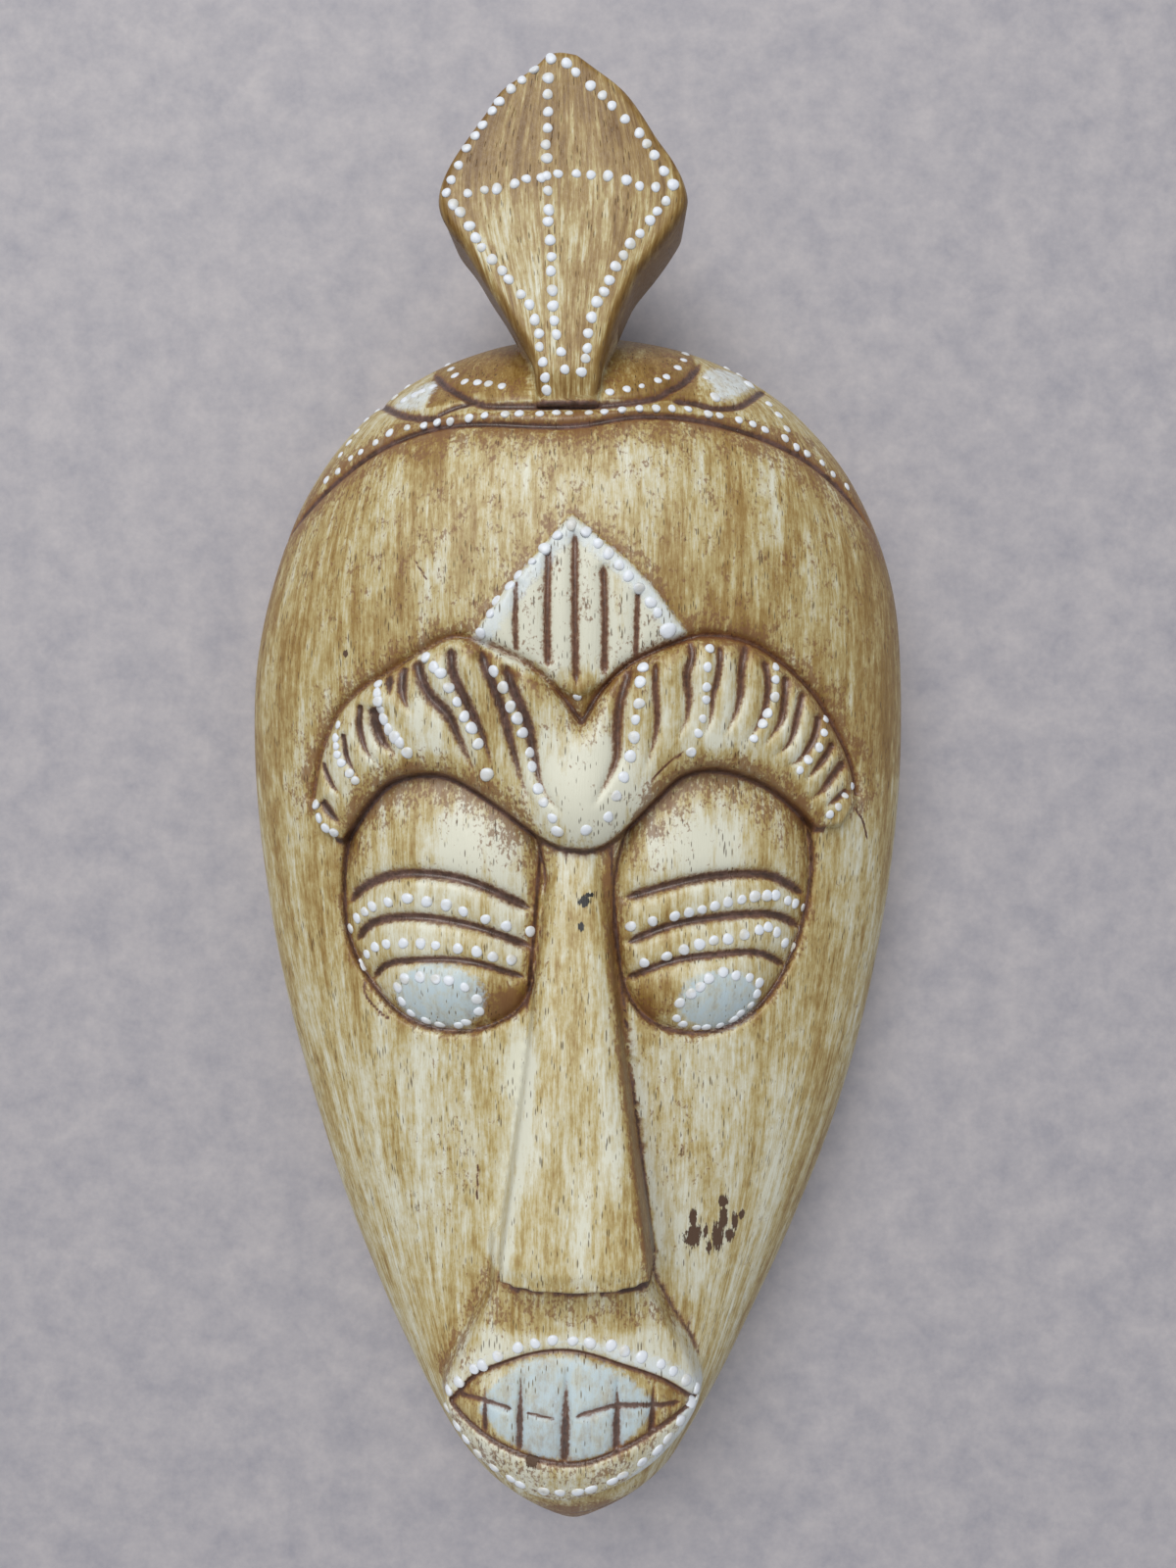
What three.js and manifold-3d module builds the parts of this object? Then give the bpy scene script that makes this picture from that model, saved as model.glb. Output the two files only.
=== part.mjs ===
// A carved wooden wall mask lying on its flat back: a long face with a fluted brow, closed eyes, a
// wedge nose and a bared mouth, and a spade-shaped crest standing on its cap. It is one piece of wood.
// Millimetres. +X is the viewer's right, +Y runs from the chin to the crest, +Z comes out of the face,
// and the origin is at the middle of the back, on the surface that the mask lies on.
import * as THREE from "three";
import * as BufferGeometryUtils from "three/addons/utils/BufferGeometryUtils.js";
import Module from "manifold-3d";

const wasm = await Module();
wasm.setup();

// Driving dimensions
const LENGTH = 304;
const WIDTH = 144;
const HEAD_TOP = 107;
const WIDEST_AT = 20;
const RIM_HEIGHT = 14;
const BACK_TAPER = 0.965;
const CHIN_FULLNESS = 0.957;
const CHIN_ROUND = -134;
const NOSE_HEIGHT = 61;
const WALL = 12;
const CREST_FRONT = 49;
const CREST_BACK = 31;

const CHIN = -LENGTH / 2;
const CREST_TIP = LENGTH / 2;
const HALF_WIDTH = WIDTH / 2;

// Small helpers
const clamp = (v, lo, hi) => Math.min(Math.max(v, lo), hi);

function smooth(lo, hi, v) {
  const t = clamp((v - lo) / (hi - lo), 0, 1);
  return t * t * (3 - 2 * t);
}

// A rounded shoulder: 0 at 0, 1 from 1 on, steep at the start and level at the end.
const shoulder = (t) => 1 - (1 - clamp(t, 0, 1)) ** 2;

// Soft bumps, along one direction and over the face.
const bump = (v, centre, reach) => Math.exp(-(((v - centre) / reach) ** 2));
const hump = (x, y, cx, cy, rx, ry) => bump(x, cx, rx) * bump(y, cy, ry);

// A smooth line through [x, y] points, as a list of points.
function curve(points, perSpan = 4, closed = false) {
  const knots = points.map(([x, y]) => new THREE.Vector3(x, y, 0));
  const path = new THREE.CatmullRomCurve3(knots, closed, "catmullrom", 0.5);
  const spans = closed ? points.length : points.length - 1;
  const line = path.getPoints(spans * perSpan).map((p) => [p.x, p.y]);
  return closed ? line.slice(0, -1) : line;
}

// A carved line or outline on the face, with the box that holds it.
function carved(points, closed = false) {
  const line = closed ? [...points, points[0]] : points;
  const xs = line.map((p) => p[0]);
  const ys = line.map((p) => p[1]);
  return { line, box: [Math.min(...xs), Math.max(...xs), Math.min(...ys), Math.max(...ys)] };
}

// How far a place is from a carved line, and reach where it is further than that.
function away({ line, box }, x, y, reach) {
  if (x < box[0] - reach || x > box[1] + reach || y < box[2] - reach || y > box[3] + reach) return reach;
  let nearest = reach;
  for (let i = 1; i < line.length; i += 1) {
    const [ax, ay] = line[i - 1];
    const dx = line[i][0] - ax;
    const dy = line[i][1] - ay;
    const t = clamp(((x - ax) * dx + (y - ay) * dy) / (dx * dx + dy * dy), 0, 1);
    nearest = Math.min(nearest, Math.hypot(x - ax - t * dx, y - ay - t * dy));
  }
  return nearest;
}

// How deep a place lies inside a closed outline, and -1 outside it.
function within(outline, x, y, reach) {
  const { line, box } = outline;
  if (x < box[0] || x > box[1] || y < box[2] || y > box[3]) return -1;
  let inside = false;
  for (let i = 1; i < line.length; i += 1) {
    const [ax, ay] = line[i - 1];
    const [bx, by] = line[i];
    if (ay > y !== by > y && x < ax + ((y - ay) / (by - ay)) * (bx - ax)) inside = !inside;
  }
  return inside ? away(outline, x, y, reach) : -1;
}

// The point at a share of a line's length.
function pointAt(line, share) {
  const steps = line.slice(1).map((p, i) => Math.hypot(p[0] - line[i][0], p[1] - line[i][1]));
  let left = share * steps.reduce((sum, step) => sum + step, 0);
  let i = 0;
  while (i < steps.length - 1 && left > steps[i]) {
    left -= steps[i];
    i += 1;
  }
  const t = left / steps[i];
  return [line[i][0] + t * (line[i + 1][0] - line[i][0]), line[i][1] + t * (line[i + 1][1] - line[i][1])];
}

// The block: a long egg, widest above its middle, on a flat back. The carver's centre line wanders.
function lean(y) {
  return 0.45 + 1.2 * smooth(24, 62, y) - 1.3 * smooth(-50, -115, y) + 0.6 * smooth(-128, -138, y);
}

function halfWidth(y) {
  const up = clamp((y - WIDEST_AT) / (HEAD_TOP - WIDEST_AT), 0, 1);
  const down = CHIN_FULLNESS * clamp((WIDEST_AT - y) / (WIDEST_AT - CHIN), 0, 1);
  if (up > 0) return HALF_WIDTH * (1 - up ** 2.36) ** 0.465;
  const chin = clamp((CHIN_ROUND - y) / (CHIN_ROUND - CHIN), 0, 1);
  return HALF_WIDTH * (1 - down ** 1.82) ** 0.766 * (1 - chin ** 2) ** 1.2;
}

// Height of the uncarved face along the centre line: chin, muzzle, cheeks, brow, forehead, cap.
const RIDGE = curve([[CHIN, 40], [-126, 46.5], [-98, 42], [-60, 43.5], [-20, 46], [8, 49], [34, 53],
  [55, 54], [75, 51.5], [HEAD_TOP, 45]]);

function ridge(y) {
  const i = Math.max(RIDGE.findIndex((p) => p[0] >= y), 1);
  const [y0, z0] = RIDGE[i - 1];
  const [y1, z1] = RIDGE[i];
  const height = z0 + ((y - y0) / (y1 - y0)) * (z1 - z0);
  const top = clamp((y - 66) / (HEAD_TOP - 66), 0, 1);
  const chin = clamp((-118 - y) / (-118 - CHIN), 0, 1);
  return RIM_HEIGHT + (height - RIM_HEIGHT) * Math.sqrt(1 - top ** 2.4) * Math.sqrt(1 - chin ** 2.6);
}

function block(x, y) {
  const across = clamp(Math.abs(x - lean(y)) / Math.max(halfWidth(y), 1e-6), 0, 1);
  return RIM_HEIGHT + (ridge(y) - RIM_HEIGHT) * (1 - across ** 2.3) ** 0.526;
}

// Outlines of the raised and sunk parts of the face
const BROW_RISE = 3;
const BROW_NOTCH = [1.5, 20.5];
const BROW_POINT = [2, -4.5];
const BROW_TOP = {
  left: curve([BROW_NOTCH, [-4, 27.5], [-11, 33], [-22, 37], [-29, 34.8], [-36, 30.8], [-41.5, 28],
    [-47, 23.5], [-50.3, 18], [-52.5, 12], [-54, 5]], 3),
  right: curve([BROW_NOTCH, [6, 27.5], [12, 32.5], [22.5, 36.8], [29, 37.2], [35, 35.8], [40.2, 33],
    [44.3, 30], [48.5, 26], [52, 21.3], [55.3, 16], [57.5, 11], [58.5, 6]], 3),
};
const BROW_LOW = {
  left: curve([BROW_POINT, [-7.5, -1.5], [-13.5, 3], [-20, 7.5], [-25, 10], [-30.5, 10.5], [-36.5, 9],
    [-41, 5], [-47, -3]]),
  right: curve([BROW_POINT, [10.5, 0], [15.5, 5], [21, 10], [27, 11.5], [33, 10.5], [39, 8], [45, 3.5],
    [49, -0.5]]),
};
const BROW_UPPER = carved([...BROW_TOP.left.slice(1).reverse(), ...BROW_TOP.right]);
const BROW_LOWER = carved([...BROW_LOW.left.slice(1).reverse(), ...BROW_LOW.right]);
const BROW_TIPS = { left: [-51.5, -1], right: [54.5, 0] };
const BROW = carved([...BROW_UPPER.line, BROW_TIPS.right, ...BROW_LOWER.line.slice().reverse(),
  BROW_TIPS.left], true);

const EYES = [
  carved(curve([[-29, 13], [-43, 8], [-47, -6], [-47.6, -17], [-46.6, -23.5], [-42.8, -31], [-35.3, -38.7],
    [-25, -41.6], [-15.5, -39.6], [-9.5, -34.5], [-7, -24], [-6, -8], [-13, 7]], 3, true), true),
  carved(curve([[30, 13.5], [44, 8], [48.5, -4], [47.5, -18], [42.5, -31], [35, -39], [25, -42],
    [15, -39], [9.5, -30], [8, -10], [15, 8]], 4, true), true),
];
const EYE_CENTRES = [-26, 28];
const EYE_GAP = 0.02;
const SOCKET_DEPTH = 0.8;
const SOCKET_TOLERANCE = 0.8;

const DIAMOND_CORNERS = [[1, 25], [-20, 36.5], [-0.5, 60], [22, 37.5]];
const DIAMOND_BOWS = [[-10, 29.5], [-11.5, 47.5], [12.5, 49], [12, 31]];
const DIAMOND = carved(DIAMOND_CORNERS.flatMap((corner, i) =>
  curve([corner, DIAMOND_BOWS[i], DIAMOND_CORNERS[(i + 1) % 4]]).slice(0, -1)), true);

const MUZZLE = carved(curve([[-14.5, -78], [-17.2, -91.3], [-20.9, -99], [-24.2, -105.5], [-26.9, -111.5],
  [-27, -117.6], [-22.4, -125.1], [-15.4, -130.4], [-9, -133.6], [-4, -134.4], [0.2, -134],
  [8.2, -131.4], [16.2, -127.8], [23.2, -121.8], [26.4, -115], [23.8, -105.5], [20.6, -100], [17.7, -94.5],
  [15.6, -90], [13.5, -78]], 2, true), true);

const LIPS = [
  curve([[-24.9, -115.2], [-20, -108.8], [-14.5, -105.4], [-7, -102.8], [0.3, -102.5], [8.9, -105],
    [17.7, -109.2], [24.4, -115.2]], 2),
  curve([[24.4, -115.2], [18, -117.4], [9.7, -120.6], [1.8, -123], [-5.9, -122.6], [-13.9, -120.6],
    [-20, -118.2], [-24.9, -115.2]], 2),
];

// Heights of the front surface over the back, part by part, before the fine lines are cut
function eyeHeight(x, y, i) {
  const sunk = 3.4 + 2.6 * smooth(-12, 10, y);
  const eyeball = 1.6 * hump(x, y, EYE_CENTRES[i], -33, 11, 7);
  return block(x, y) - sunk + 4.8 * shoulder(within(EYES[i], x, y, 16) / 13) + eyeball;
}

function muzzleHeight(x, y) {
  const raised = 7.5 * (1 - 0.5 * smooth(-112, -135, y));
  return block(x, y) + raised * (0.5 + 0.5 * shoulder(within(MUZZLE, x, y, 14) / 10));
}

function browHeight(x, y) {
  const upper = shoulder(away(BROW_UPPER, x, y, 16) / 6);
  const lower = shoulder(away(BROW_LOWER, x, y, 16) / 8);
  return block(x, y) + BROW_RISE * (upper + lower - 1) + 3.2 * hump(x, y, 1.5, 4, 10, 11);
}

const diamondHeight = (x, y) => block(x, y) + 1.6;

// The nose: a wedge that leaves the brow narrow and low and ends wide, high and undercut.
const NOSE = {
  root: 6, end: -86.6, middle: 0.2, rootHalf: 4.9, endHalf: 14.3, spread: 1.35, rootHeight: 46, foot: 2.2,
  sunk: 12, endBow: 1.4,
};

function noseAt(y) {
  const t = clamp((NOSE.root - y) / (NOSE.root - NOSE.end), 0, 1);
  return {
    half: NOSE.rootHalf + (NOSE.endHalf - NOSE.rootHalf) * t ** NOSE.spread,
    height: NOSE.rootHeight + (NOSE_HEIGHT - NOSE.rootHeight) * t,
  };
}

// The front surface at a place, whichever part is there.
function face(x, y) {
  const eye = EYES.findIndex((outline) => within(outline, x, y, 16) > 0);
  let z = eye < 0 ? block(x, y) : eyeHeight(x, y, eye);
  if (within(MUZZLE, x, y, 14) > 0) z = muzzleHeight(x, y);
  if (within(DIAMOND, x, y, 3) > 0) z = diamondHeight(x, y);
  if (within(BROW, x, y, 16) > 0) z = Math.max(z, browHeight(x, y));
  return z;
}

// A surface over two squares of cells, as right triangles that are halved wherever the form leaves
// their flat faces by more than the tolerance. A place is given across and along, from -1 to 1.
function reliefSurface(cells, tolerance, largestCell, place) {
  const rows = 2 * cells;
  const side = cells + 1;
  const onRim = (i, j) => i === 0 || i === cells || j === 0 || j === rows;
  const points = [];
  for (let j = 0; j <= rows; j += 1) {
    for (let i = 0; i <= cells; i += 1) {
      points.push(place((i / cells) * 2 - 1, (j / rows) * 2 - 1, onRim(i, j)));
    }
  }
  const index = ([i, j]) => j * side + i;
  const middle = (a, b) => [(a[0] + b[0]) / 2, (a[1] + b[1]) / 2];
  const canHalve = (a, c) => Math.abs(a[0] - c[0]) + Math.abs(a[1] - c[1]) > 1;
  const misfit = new Float64Array(points.length);

  function measure(a, b, c) {
    if (!canHalve(a, c)) return 0;
    const m = middle(a, b);
    const [pa, pb, pm] = [points[index(a)], points[index(b)], points[index(m)]];
    const compared = onRim(...m) ? [0, 1, 2] : [2];
    const own = Math.hypot(...compared.map((k) => (pa[k] + pb[k]) / 2 - pm[k]));
    const span = Math.abs(a[0] - b[0]) + Math.abs(a[1] - b[1]);
    const worst = Math.max(span > largestCell * 2 ? Infinity : own, measure(c, a, m), measure(b, c, m));
    misfit[index(m)] = Math.max(misfit[index(m)], worst);
    return misfit[index(m)];
  }

  const triangles = [];
  function keep(a, b, c) {
    if (canHalve(a, c) && misfit[index(middle(a, b))] > tolerance) {
      keep(c, a, middle(a, b));
      keep(b, c, middle(a, b));
    } else {
      triangles.push([index(b), index(a), index(c)]);
    }
  }

  const halves = [0, cells].flatMap((j) => [
    [[0, j], [cells, j + cells], [cells, j]],
    [[cells, j + cells], [0, j], [0, j + cells]],
  ]);
  for (let pass = 0; pass < 3; pass += 1) halves.forEach(([a, b, c]) => measure(a, b, c));
  halves.forEach(([a, b, c]) => keep(a, b, c));
  return welded(points, triangles);
}

// The same surface with places that coincide made one and the triangles that vanish dropped.
function welded(points, triangles) {
  const seen = new Map();
  const kept = [];
  const renamed = points.map((p) => {
    const key = p.map((v) => v.toFixed(4)).join();
    if (!seen.has(key)) seen.set(key, kept.push(p) - 1);
    return seen.get(key);
  });
  const faces = triangles.map((t) => t.map((i) => renamed[i]));
  return { points: kept, triangles: faces.filter(([a, b, c]) => a !== b && b !== c && c !== a) };
}

// Closes a surface downwards: each step moves its rim lower, and the last rim gets a flat floor.
function closedBelow({ points, triangles }, steps) {
  const edges = new Set(triangles.flatMap(([a, b, c]) => [`${a},${b}`, `${b},${c}`, `${c},${a}`]));
  const next = new Map([...edges].map((edge) => edge.split(",").map(Number))
    .filter(([a, b]) => !edges.has(`${b},${a}`)));
  let rim = [next.keys().next().value];
  while (next.get(rim.at(-1)) !== rim[0]) rim.push(next.get(rim.at(-1)));
  const all = points.slice();
  const faces = triangles.slice();
  for (const step of steps) {
    const lower = rim.map((i) => all.push(step(all[i])) - 1);
    rim.forEach((u, k) => {
      const n = (k + 1) % rim.length;
      faces.push([rim[n], u, lower[k]], [rim[n], lower[k], lower[n]]);
    });
    rim = lower;
  }
  const outline = rim.map((i) => new THREE.Vector2(all[i][0], all[i][1]));
  for (const [a, b, c] of THREE.ShapeUtils.triangulateShape(outline, [])) {
    const up = outline[b].clone().sub(outline[a]).cross(outline[c].clone().sub(outline[a])) > 0;
    faces.push(up ? [rim[a], rim[c], rim[b]] : [rim[a], rim[b], rim[c]]);
  }
  return toSolid(all, faces);
}

function toSolid(points, triangles) {
  return new wasm.Manifold(new wasm.Mesh({
    numProp: 3,
    vertProperties: new Float32Array(points.flat()),
    triVerts: new Uint32Array(triangles.flat()),
  }));
}

// A solid from triangles whose nearly coinciding points are made one.
function weldedSolid(geometry, tolerance) {
  const merged = BufferGeometryUtils.mergeVertices(geometry, tolerance);
  return new wasm.Manifold(new wasm.Mesh({
    numProp: 3,
    vertProperties: merged.attributes.position.array,
    triVerts: new Uint32Array(merged.index.array),
  }));
}

// An upright prism on a closed outline.
function prism({ line }, from, to) {
  const shape = new THREE.Shape(line.slice(0, -1).map(([x, y]) => new THREE.Vector2(x, y)));
  const geometry = new THREE.ExtrudeGeometry(shape, { depth: to - from, bevelEnabled: false });
  geometry.translate(0, 0, from);
  geometry.deleteAttribute("normal");
  geometry.deleteAttribute("uv");
  return weldedSolid(geometry, 1e-4);
}

// All the wood under a height, over the box of an outline.
function woodUnder(height, { box }, floor, tolerance = 0.5) {
  const [x0, x1, y0, y1] = box;
  const wide = x1 - x0 > y1 - y0;
  const surface = reliefSurface(32, tolerance, 8, (across, along) => {
    const x = (x0 + x1) / 2 + ((x1 - x0) / 2 + 1) * (wide ? -along : across);
    const y = (y0 + y1) / 2 + ((y1 - y0) / 2 + 1) * (wide ? across : along);
    return [x, y, height(x, y)];
  });
  return closedBelow(surface, [([x, y]) => [x, y, floor]]);
}

// A raised part of the face: its own height inside its outline, rooted deep in the block.
const ROOT_DEPTH = 20;
const OVER_ALL = 90;

function raised(outline, height) {
  return woodUnder(height, outline, ROOT_DEPTH).intersect(prism(outline, ROOT_DEPTH - 1, OVER_ALL));
}

// A body drawn through rings of the same number of points, closed flat at both ends.
function lofted(rings) {
  const count = rings[0].length;
  const triangles = [];
  rings.slice(1).forEach((ring, r) => {
    for (let k = 0; k < count; k += 1) {
      const a = r * count + k;
      const b = r * count + ((k + 1) % count);
      triangles.push([a, b, b + count], [a, b + count, a + count]);
    }
  });
  const last = (rings.length - 1) * count;
  for (let k = 1; k < count - 1; k += 1) {
    triangles.push([0, k + 1, k], [last, last + k, last + k + 1]);
  }
  const solid = toSolid(rings.flat(), triangles);
  if (solid.volume() > 0) return solid;
  return toSolid(rings.flat(), triangles.map(([a, b, c]) => [a, c, b]));
}

// Places from -1 to 1, closer together towards both ends, where the wood turns down.
const crowded = (t) => Math.sin((t * Math.PI) / 2);
const MIDDLE = (HEAD_TOP + CHIN) / 2;
const HALF_HEAD = (HEAD_TOP - CHIN) / 2;

function blockSolid() {
  const surface = reliefSurface(64, 0.35, 8, (across, along, onRim) => {
    const y = MIDDLE + HALF_HEAD * crowded(along);
    const x = lean(y) + halfWidth(y) * crowded(across);
    return [x, y, onRim ? RIM_HEIGHT : block(x, y)];
  });
  const tapered = (share, z) => ([x, y]) => [x * share, MIDDLE + (y - MIDDLE) * share, z];
  return closedBelow(surface, [tapered(0.99, 6), tapered(BACK_TAPER, 0)]);
}

// The scoop at the back, a smaller copy of the block's own outline.
function hollowSolid() {
  const surface = reliefSurface(16, 1.5, 4, (across, along) => {
    const outside = MIDDLE + HALF_HEAD * crowded(along);
    const y = MIDDLE + (HALF_HEAD - WALL) * crowded(along);
    const x = lean(y) + halfWidth(outside) * (1 - WALL / HALF_WIDTH) * crowded(across);
    const archAcross = Math.sqrt(1 - Math.abs(crowded(across)) ** 2.6);
    const archAlong = Math.sqrt(1 - Math.abs(crowded(along)) ** 6);
    return [x, y, (ridge(y) - WALL - 2) * archAcross * archAlong];
  });
  return closedBelow(surface, [([x, y]) => [x, y, -2]]);
}

// The nose runs through stations down the face: from foot to shoulder, over its rounded back, and down.
function noseSolid() {
  const stations = [NOSE.root, -12, -36, -60, NOSE.end + 4, NOSE.end];
  const rings = stations.map((y) => {
    const { half, height } = noseAt(y);
    const worn = y === NOSE.end ? 0.8 : 0;
    const ground = block(0, y) - NOSE.sunk;
    const left = [
      [half + NOSE.foot, ground], [half + NOSE.foot / 2, (ground + height) / 2], [half, height - 2.2 - worn],
      [half * 0.6, height - 0.5 - worn],
    ].map(([x, z]) => [-x, z]);
    const right = left.map(([x, z]) => [-x, z]).reverse();
    const bow = y < NOSE.end + 5 ? NOSE.endBow : 0;
    const section = [...left, [0, height - worn], ...right];
    return section.map(([x, z]) => [NOSE.middle + x, y + bow * (x / NOSE.endHalf) ** 2, z]);
  });
  return lofted(rings);
}

// The crest: a spade on a short neck, cut square through its thickness, with softened front edges and
// a slight undercut on its left side. Each outline gives x against y.
const CREST_LEFT = curve([[83, -7.6], [90, -8], [95, -10.2], [99.5, -13], [104, -15.6], [108.6, -18.6],
  [113.9, -21.8], [118.5, -25.3], [122.5, -26.7], [126.5, -26.2], [130.5, -24.4], [135, -21.3], [140, -17.6],
  [144.6, -14.4], [148.4, -8.8], [150.8, -6], [CREST_TIP, -3.4]], 2);
const CREST_RIGHT = curve([[83, 5], [90, 5.5], [95, 6.9], [99.5, 8.5], [104, 10.4], [108.6, 12.7],
  [113.9, 16.9], [118.5, 20.2], [122.5, 22.3], [126.5, 21.8], [130.5, 19.9], [135, 16.6], [140, 13.4],
  [144.6, 9.8], [148.4, 5], [150.8, 1.4], [CREST_TIP, -2.4]], 2);
const CREST_EDGE = 2.2;
const CREST_UNDERCUT = 1.5;

function crestSolid() {
  const rings = CREST_LEFT.map(([y, left], i) => {
    const right = CREST_RIGHT[i][1];
    const inset = Math.min(CREST_EDGE, (right - left) * 0.2);
    const undercut = Math.min(CREST_UNDERCUT, (right - left) * 0.1);
    const back = CREST_BACK + inset;
    const section = [
      [left + undercut, back], [left, CREST_FRONT - inset], [left + inset * 0.3, CREST_FRONT - inset * 0.3],
      [left + inset, CREST_FRONT], [(left + right) / 2, CREST_FRONT + 0.3], [right - inset, CREST_FRONT],
      [right - inset * 0.3, CREST_FRONT - inset * 0.3], [right, CREST_FRONT - inset], [right, back],
      [right - inset, CREST_BACK], [left + undercut + inset, CREST_BACK],
    ];
    return section.map(([x, z]) => [x, y, z]);
  });
  return lofted(rings);
}

// A cut by a V-shaped gouge drawn along a line over the surface. It lifts out at both ends.
const GOUGE_LIFT = 1;
const GOUGE_ENDS = 0.25;

function gouge(line, width, depth) {
  const step = 1;
  const rings = line.map(([x, y], i) => {
    const centre = new THREE.Vector3(x, y, face(x, y));
    const slopeX = (face(x + step, y) - face(x - step, y)) / (2 * step);
    const slopeY = (face(x, y + step) - face(x, y - step)) / (2 * step);
    const out = new THREE.Vector3(clamp(-slopeX, -1.5, 1.5), clamp(-slopeY, -1.5, 1.5), 1).normalize();
    const [x0, y0] = line[Math.max(i - 1, 0)];
    const [x1, y1] = line[Math.min(i + 1, line.length - 1)];
    const across = new THREE.Vector3(y0 - y1, x1 - x0, 0).cross(out).cross(out).normalize();
    const here = depth * (i === 0 || i === line.length - 1 ? GOUGE_ENDS : 1);
    const half = ((width / 2) * (here + GOUGE_LIFT)) / depth;
    const top = centre.clone().addScaledVector(out, GOUGE_LIFT);
    return [
      centre.addScaledVector(out, -here),
      top.clone().addScaledVector(across, half),
      top.clone().addScaledVector(across, -half),
    ].map((p) => p.toArray());
  });
  return lofted(rings);
}

// Every fine line of the face
const FLUTES = 11;
const FLUTE_REACH = 0.82;
const FLUTE_BOW = 1.3;

// The brow's flutes fan out from its notch, each from the top edge towards its place on the low edge.
function browFlutes(side, fan) {
  const outward = side === "left" ? -1 : 1;
  return Array.from({ length: FLUTES }, (_, k) => {
    const share = 0.22 + 0.072 * k;
    const [ax, ay] = pointAt(BROW_TOP[side], share);
    const [bx, by] = pointAt(BROW_LOW[side], Math.max(1 - fan * (1 - share) ** 1.5, 0.02));
    const long = Math.hypot(bx - ax, by - ay);
    return [0.05, 0.4, FLUTE_REACH].map((t) => {
      const bow = ((outward * FLUTE_BOW) / long) * Math.sin(Math.PI * t);
      return [ax + (bx - ax) * t + (ay - by) * bow, ay + (by - ay) * t + (bx - ax) * bow];
    });
  });
}

const LIDS = [
  [[-46.7, -16.4], [-43, -12.8], [-36, -9.7], [-27, -9.7], [-18.5, -11.6], [-9.8, -15.8]],
  [[-45.4, -24.2], [-41, -19.8], [-33.5, -18.1], [-24.8, -18.8], [-16.8, -20.7], [-9.6, -23.8]],
  [[-41.6, -31.9], [-38, -28.1], [-31, -26.7], [-20.5, -26.8], [-11.4, -29.8]],
  [[9.5, -14.3], [19, -11.5], [28, -9.8], [39, -9.9], [47.3, -14.3]],
  [[10.3, -23.3], [19, -19.6], [30, -17.9], [40, -17.9], [46.8, -21]],
  [[10, -30.6], [19, -26.8], [28.5, -25.5], [37, -25.6], [43.7, -28.8]],
];
const PANEL_LINES = [[-11, 34, 46.5], [-5, 31, 53.5], [0.3, 27.5, 56], [5.8, 29.5, 49], [12, 33.5, 44.5]];
const TOOTH_LINES = [[-17.5, -118, -110.4], [-10.4, -120.6, -108], [-1.6, -122.6, -107],
  [8.3, -120.6, -108.2], [15.3, -118.3, -110]];
const BITE_LINES = [
  [[-23.5, -112.7], [-18, -112.3], [-12.4, -112.8]],
  [[-9, -113.4], [-4, -113.6]],
  [[0.3, -113.5], [8, -112.3], [13.2, -112.7], [20.5, -114]],
];
const CAP_LINES = [
  [[-65, 60], [-57.6, 65.5], [-48.9, 71.3], [-40.7, 75.8], [-31.3, 78.8], [-21.8, 79.6], [-8.2, 78.6]],
  [[0.8, 78.5], [12.3, 80.6], [24, 80.6], [36, 78.5], [46.7, 75.1], [56, 69.6], [64, 62]],
  [[-43.5, 90], [-36.9, 85.2], [-31.2, 82.4], [-26.9, 82.3], [-20.4, 84.6]],
  [[-28.5, 94], [-23.8, 87.7], [-16.8, 83.6], [-8.3, 83.1]],
  [[5.8, 83.2], [15.1, 84.9], [20.5, 88.4], [26, 95.5]],
  [[19, 84.8], [27.4, 83.9], [35, 86.4], [39.8, 91.5]],
];

function fineCuts() {
  const upright = ([x, low, high]) => [[x, low], [x, (low + high) / 2], [x, high]];
  return [
    ...[...browFlutes("left", 1.3), ...browFlutes("right", 1.15)].map((line) => gouge(line, 1.7, 1)),
    ...LIDS.map((line) => gouge(curve(line, 2), 1.7, 1.2)),
    ...PANEL_LINES.map((line) => gouge(upright(line), 1.4, 0.7)),
    ...TOOTH_LINES.map((line) => gouge(upright(line), 1.5, 0.9)),
    ...BITE_LINES.map((line) => gouge(line, 1.2, 0.6)),
    ...CAP_LINES.map((line) => gouge(curve(line, 2), 1.6, 1)),
    ...LIPS.map((line) => gouge(line, 1.4, 0.9)),
    gouge(BROW_UPPER.line.filter((_, i) => i % 3 === 2), 1.8, 1.1),
  ];
}

// An outline drawn in towards its middle by a share of its size.
function drawnIn({ line, box }, share) {
  const [cx, cy] = [(box[0] + box[1]) / 2, (box[2] + box[3]) / 2];
  return carved(line.slice(0, -1).map(([x, y]) => [x + (cx - x) * share, y + (cy - y) * share]), true);
}

function geometryOf(solid) {
  const { vertProperties, triVerts } = solid.getMesh();
  const geometry = new THREE.BufferGeometry();
  geometry.setAttribute("position", new THREE.BufferAttribute(vertProperties, 3));
  geometry.setIndex(new THREE.BufferAttribute(triVerts, 1));
  return geometry;
}

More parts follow.
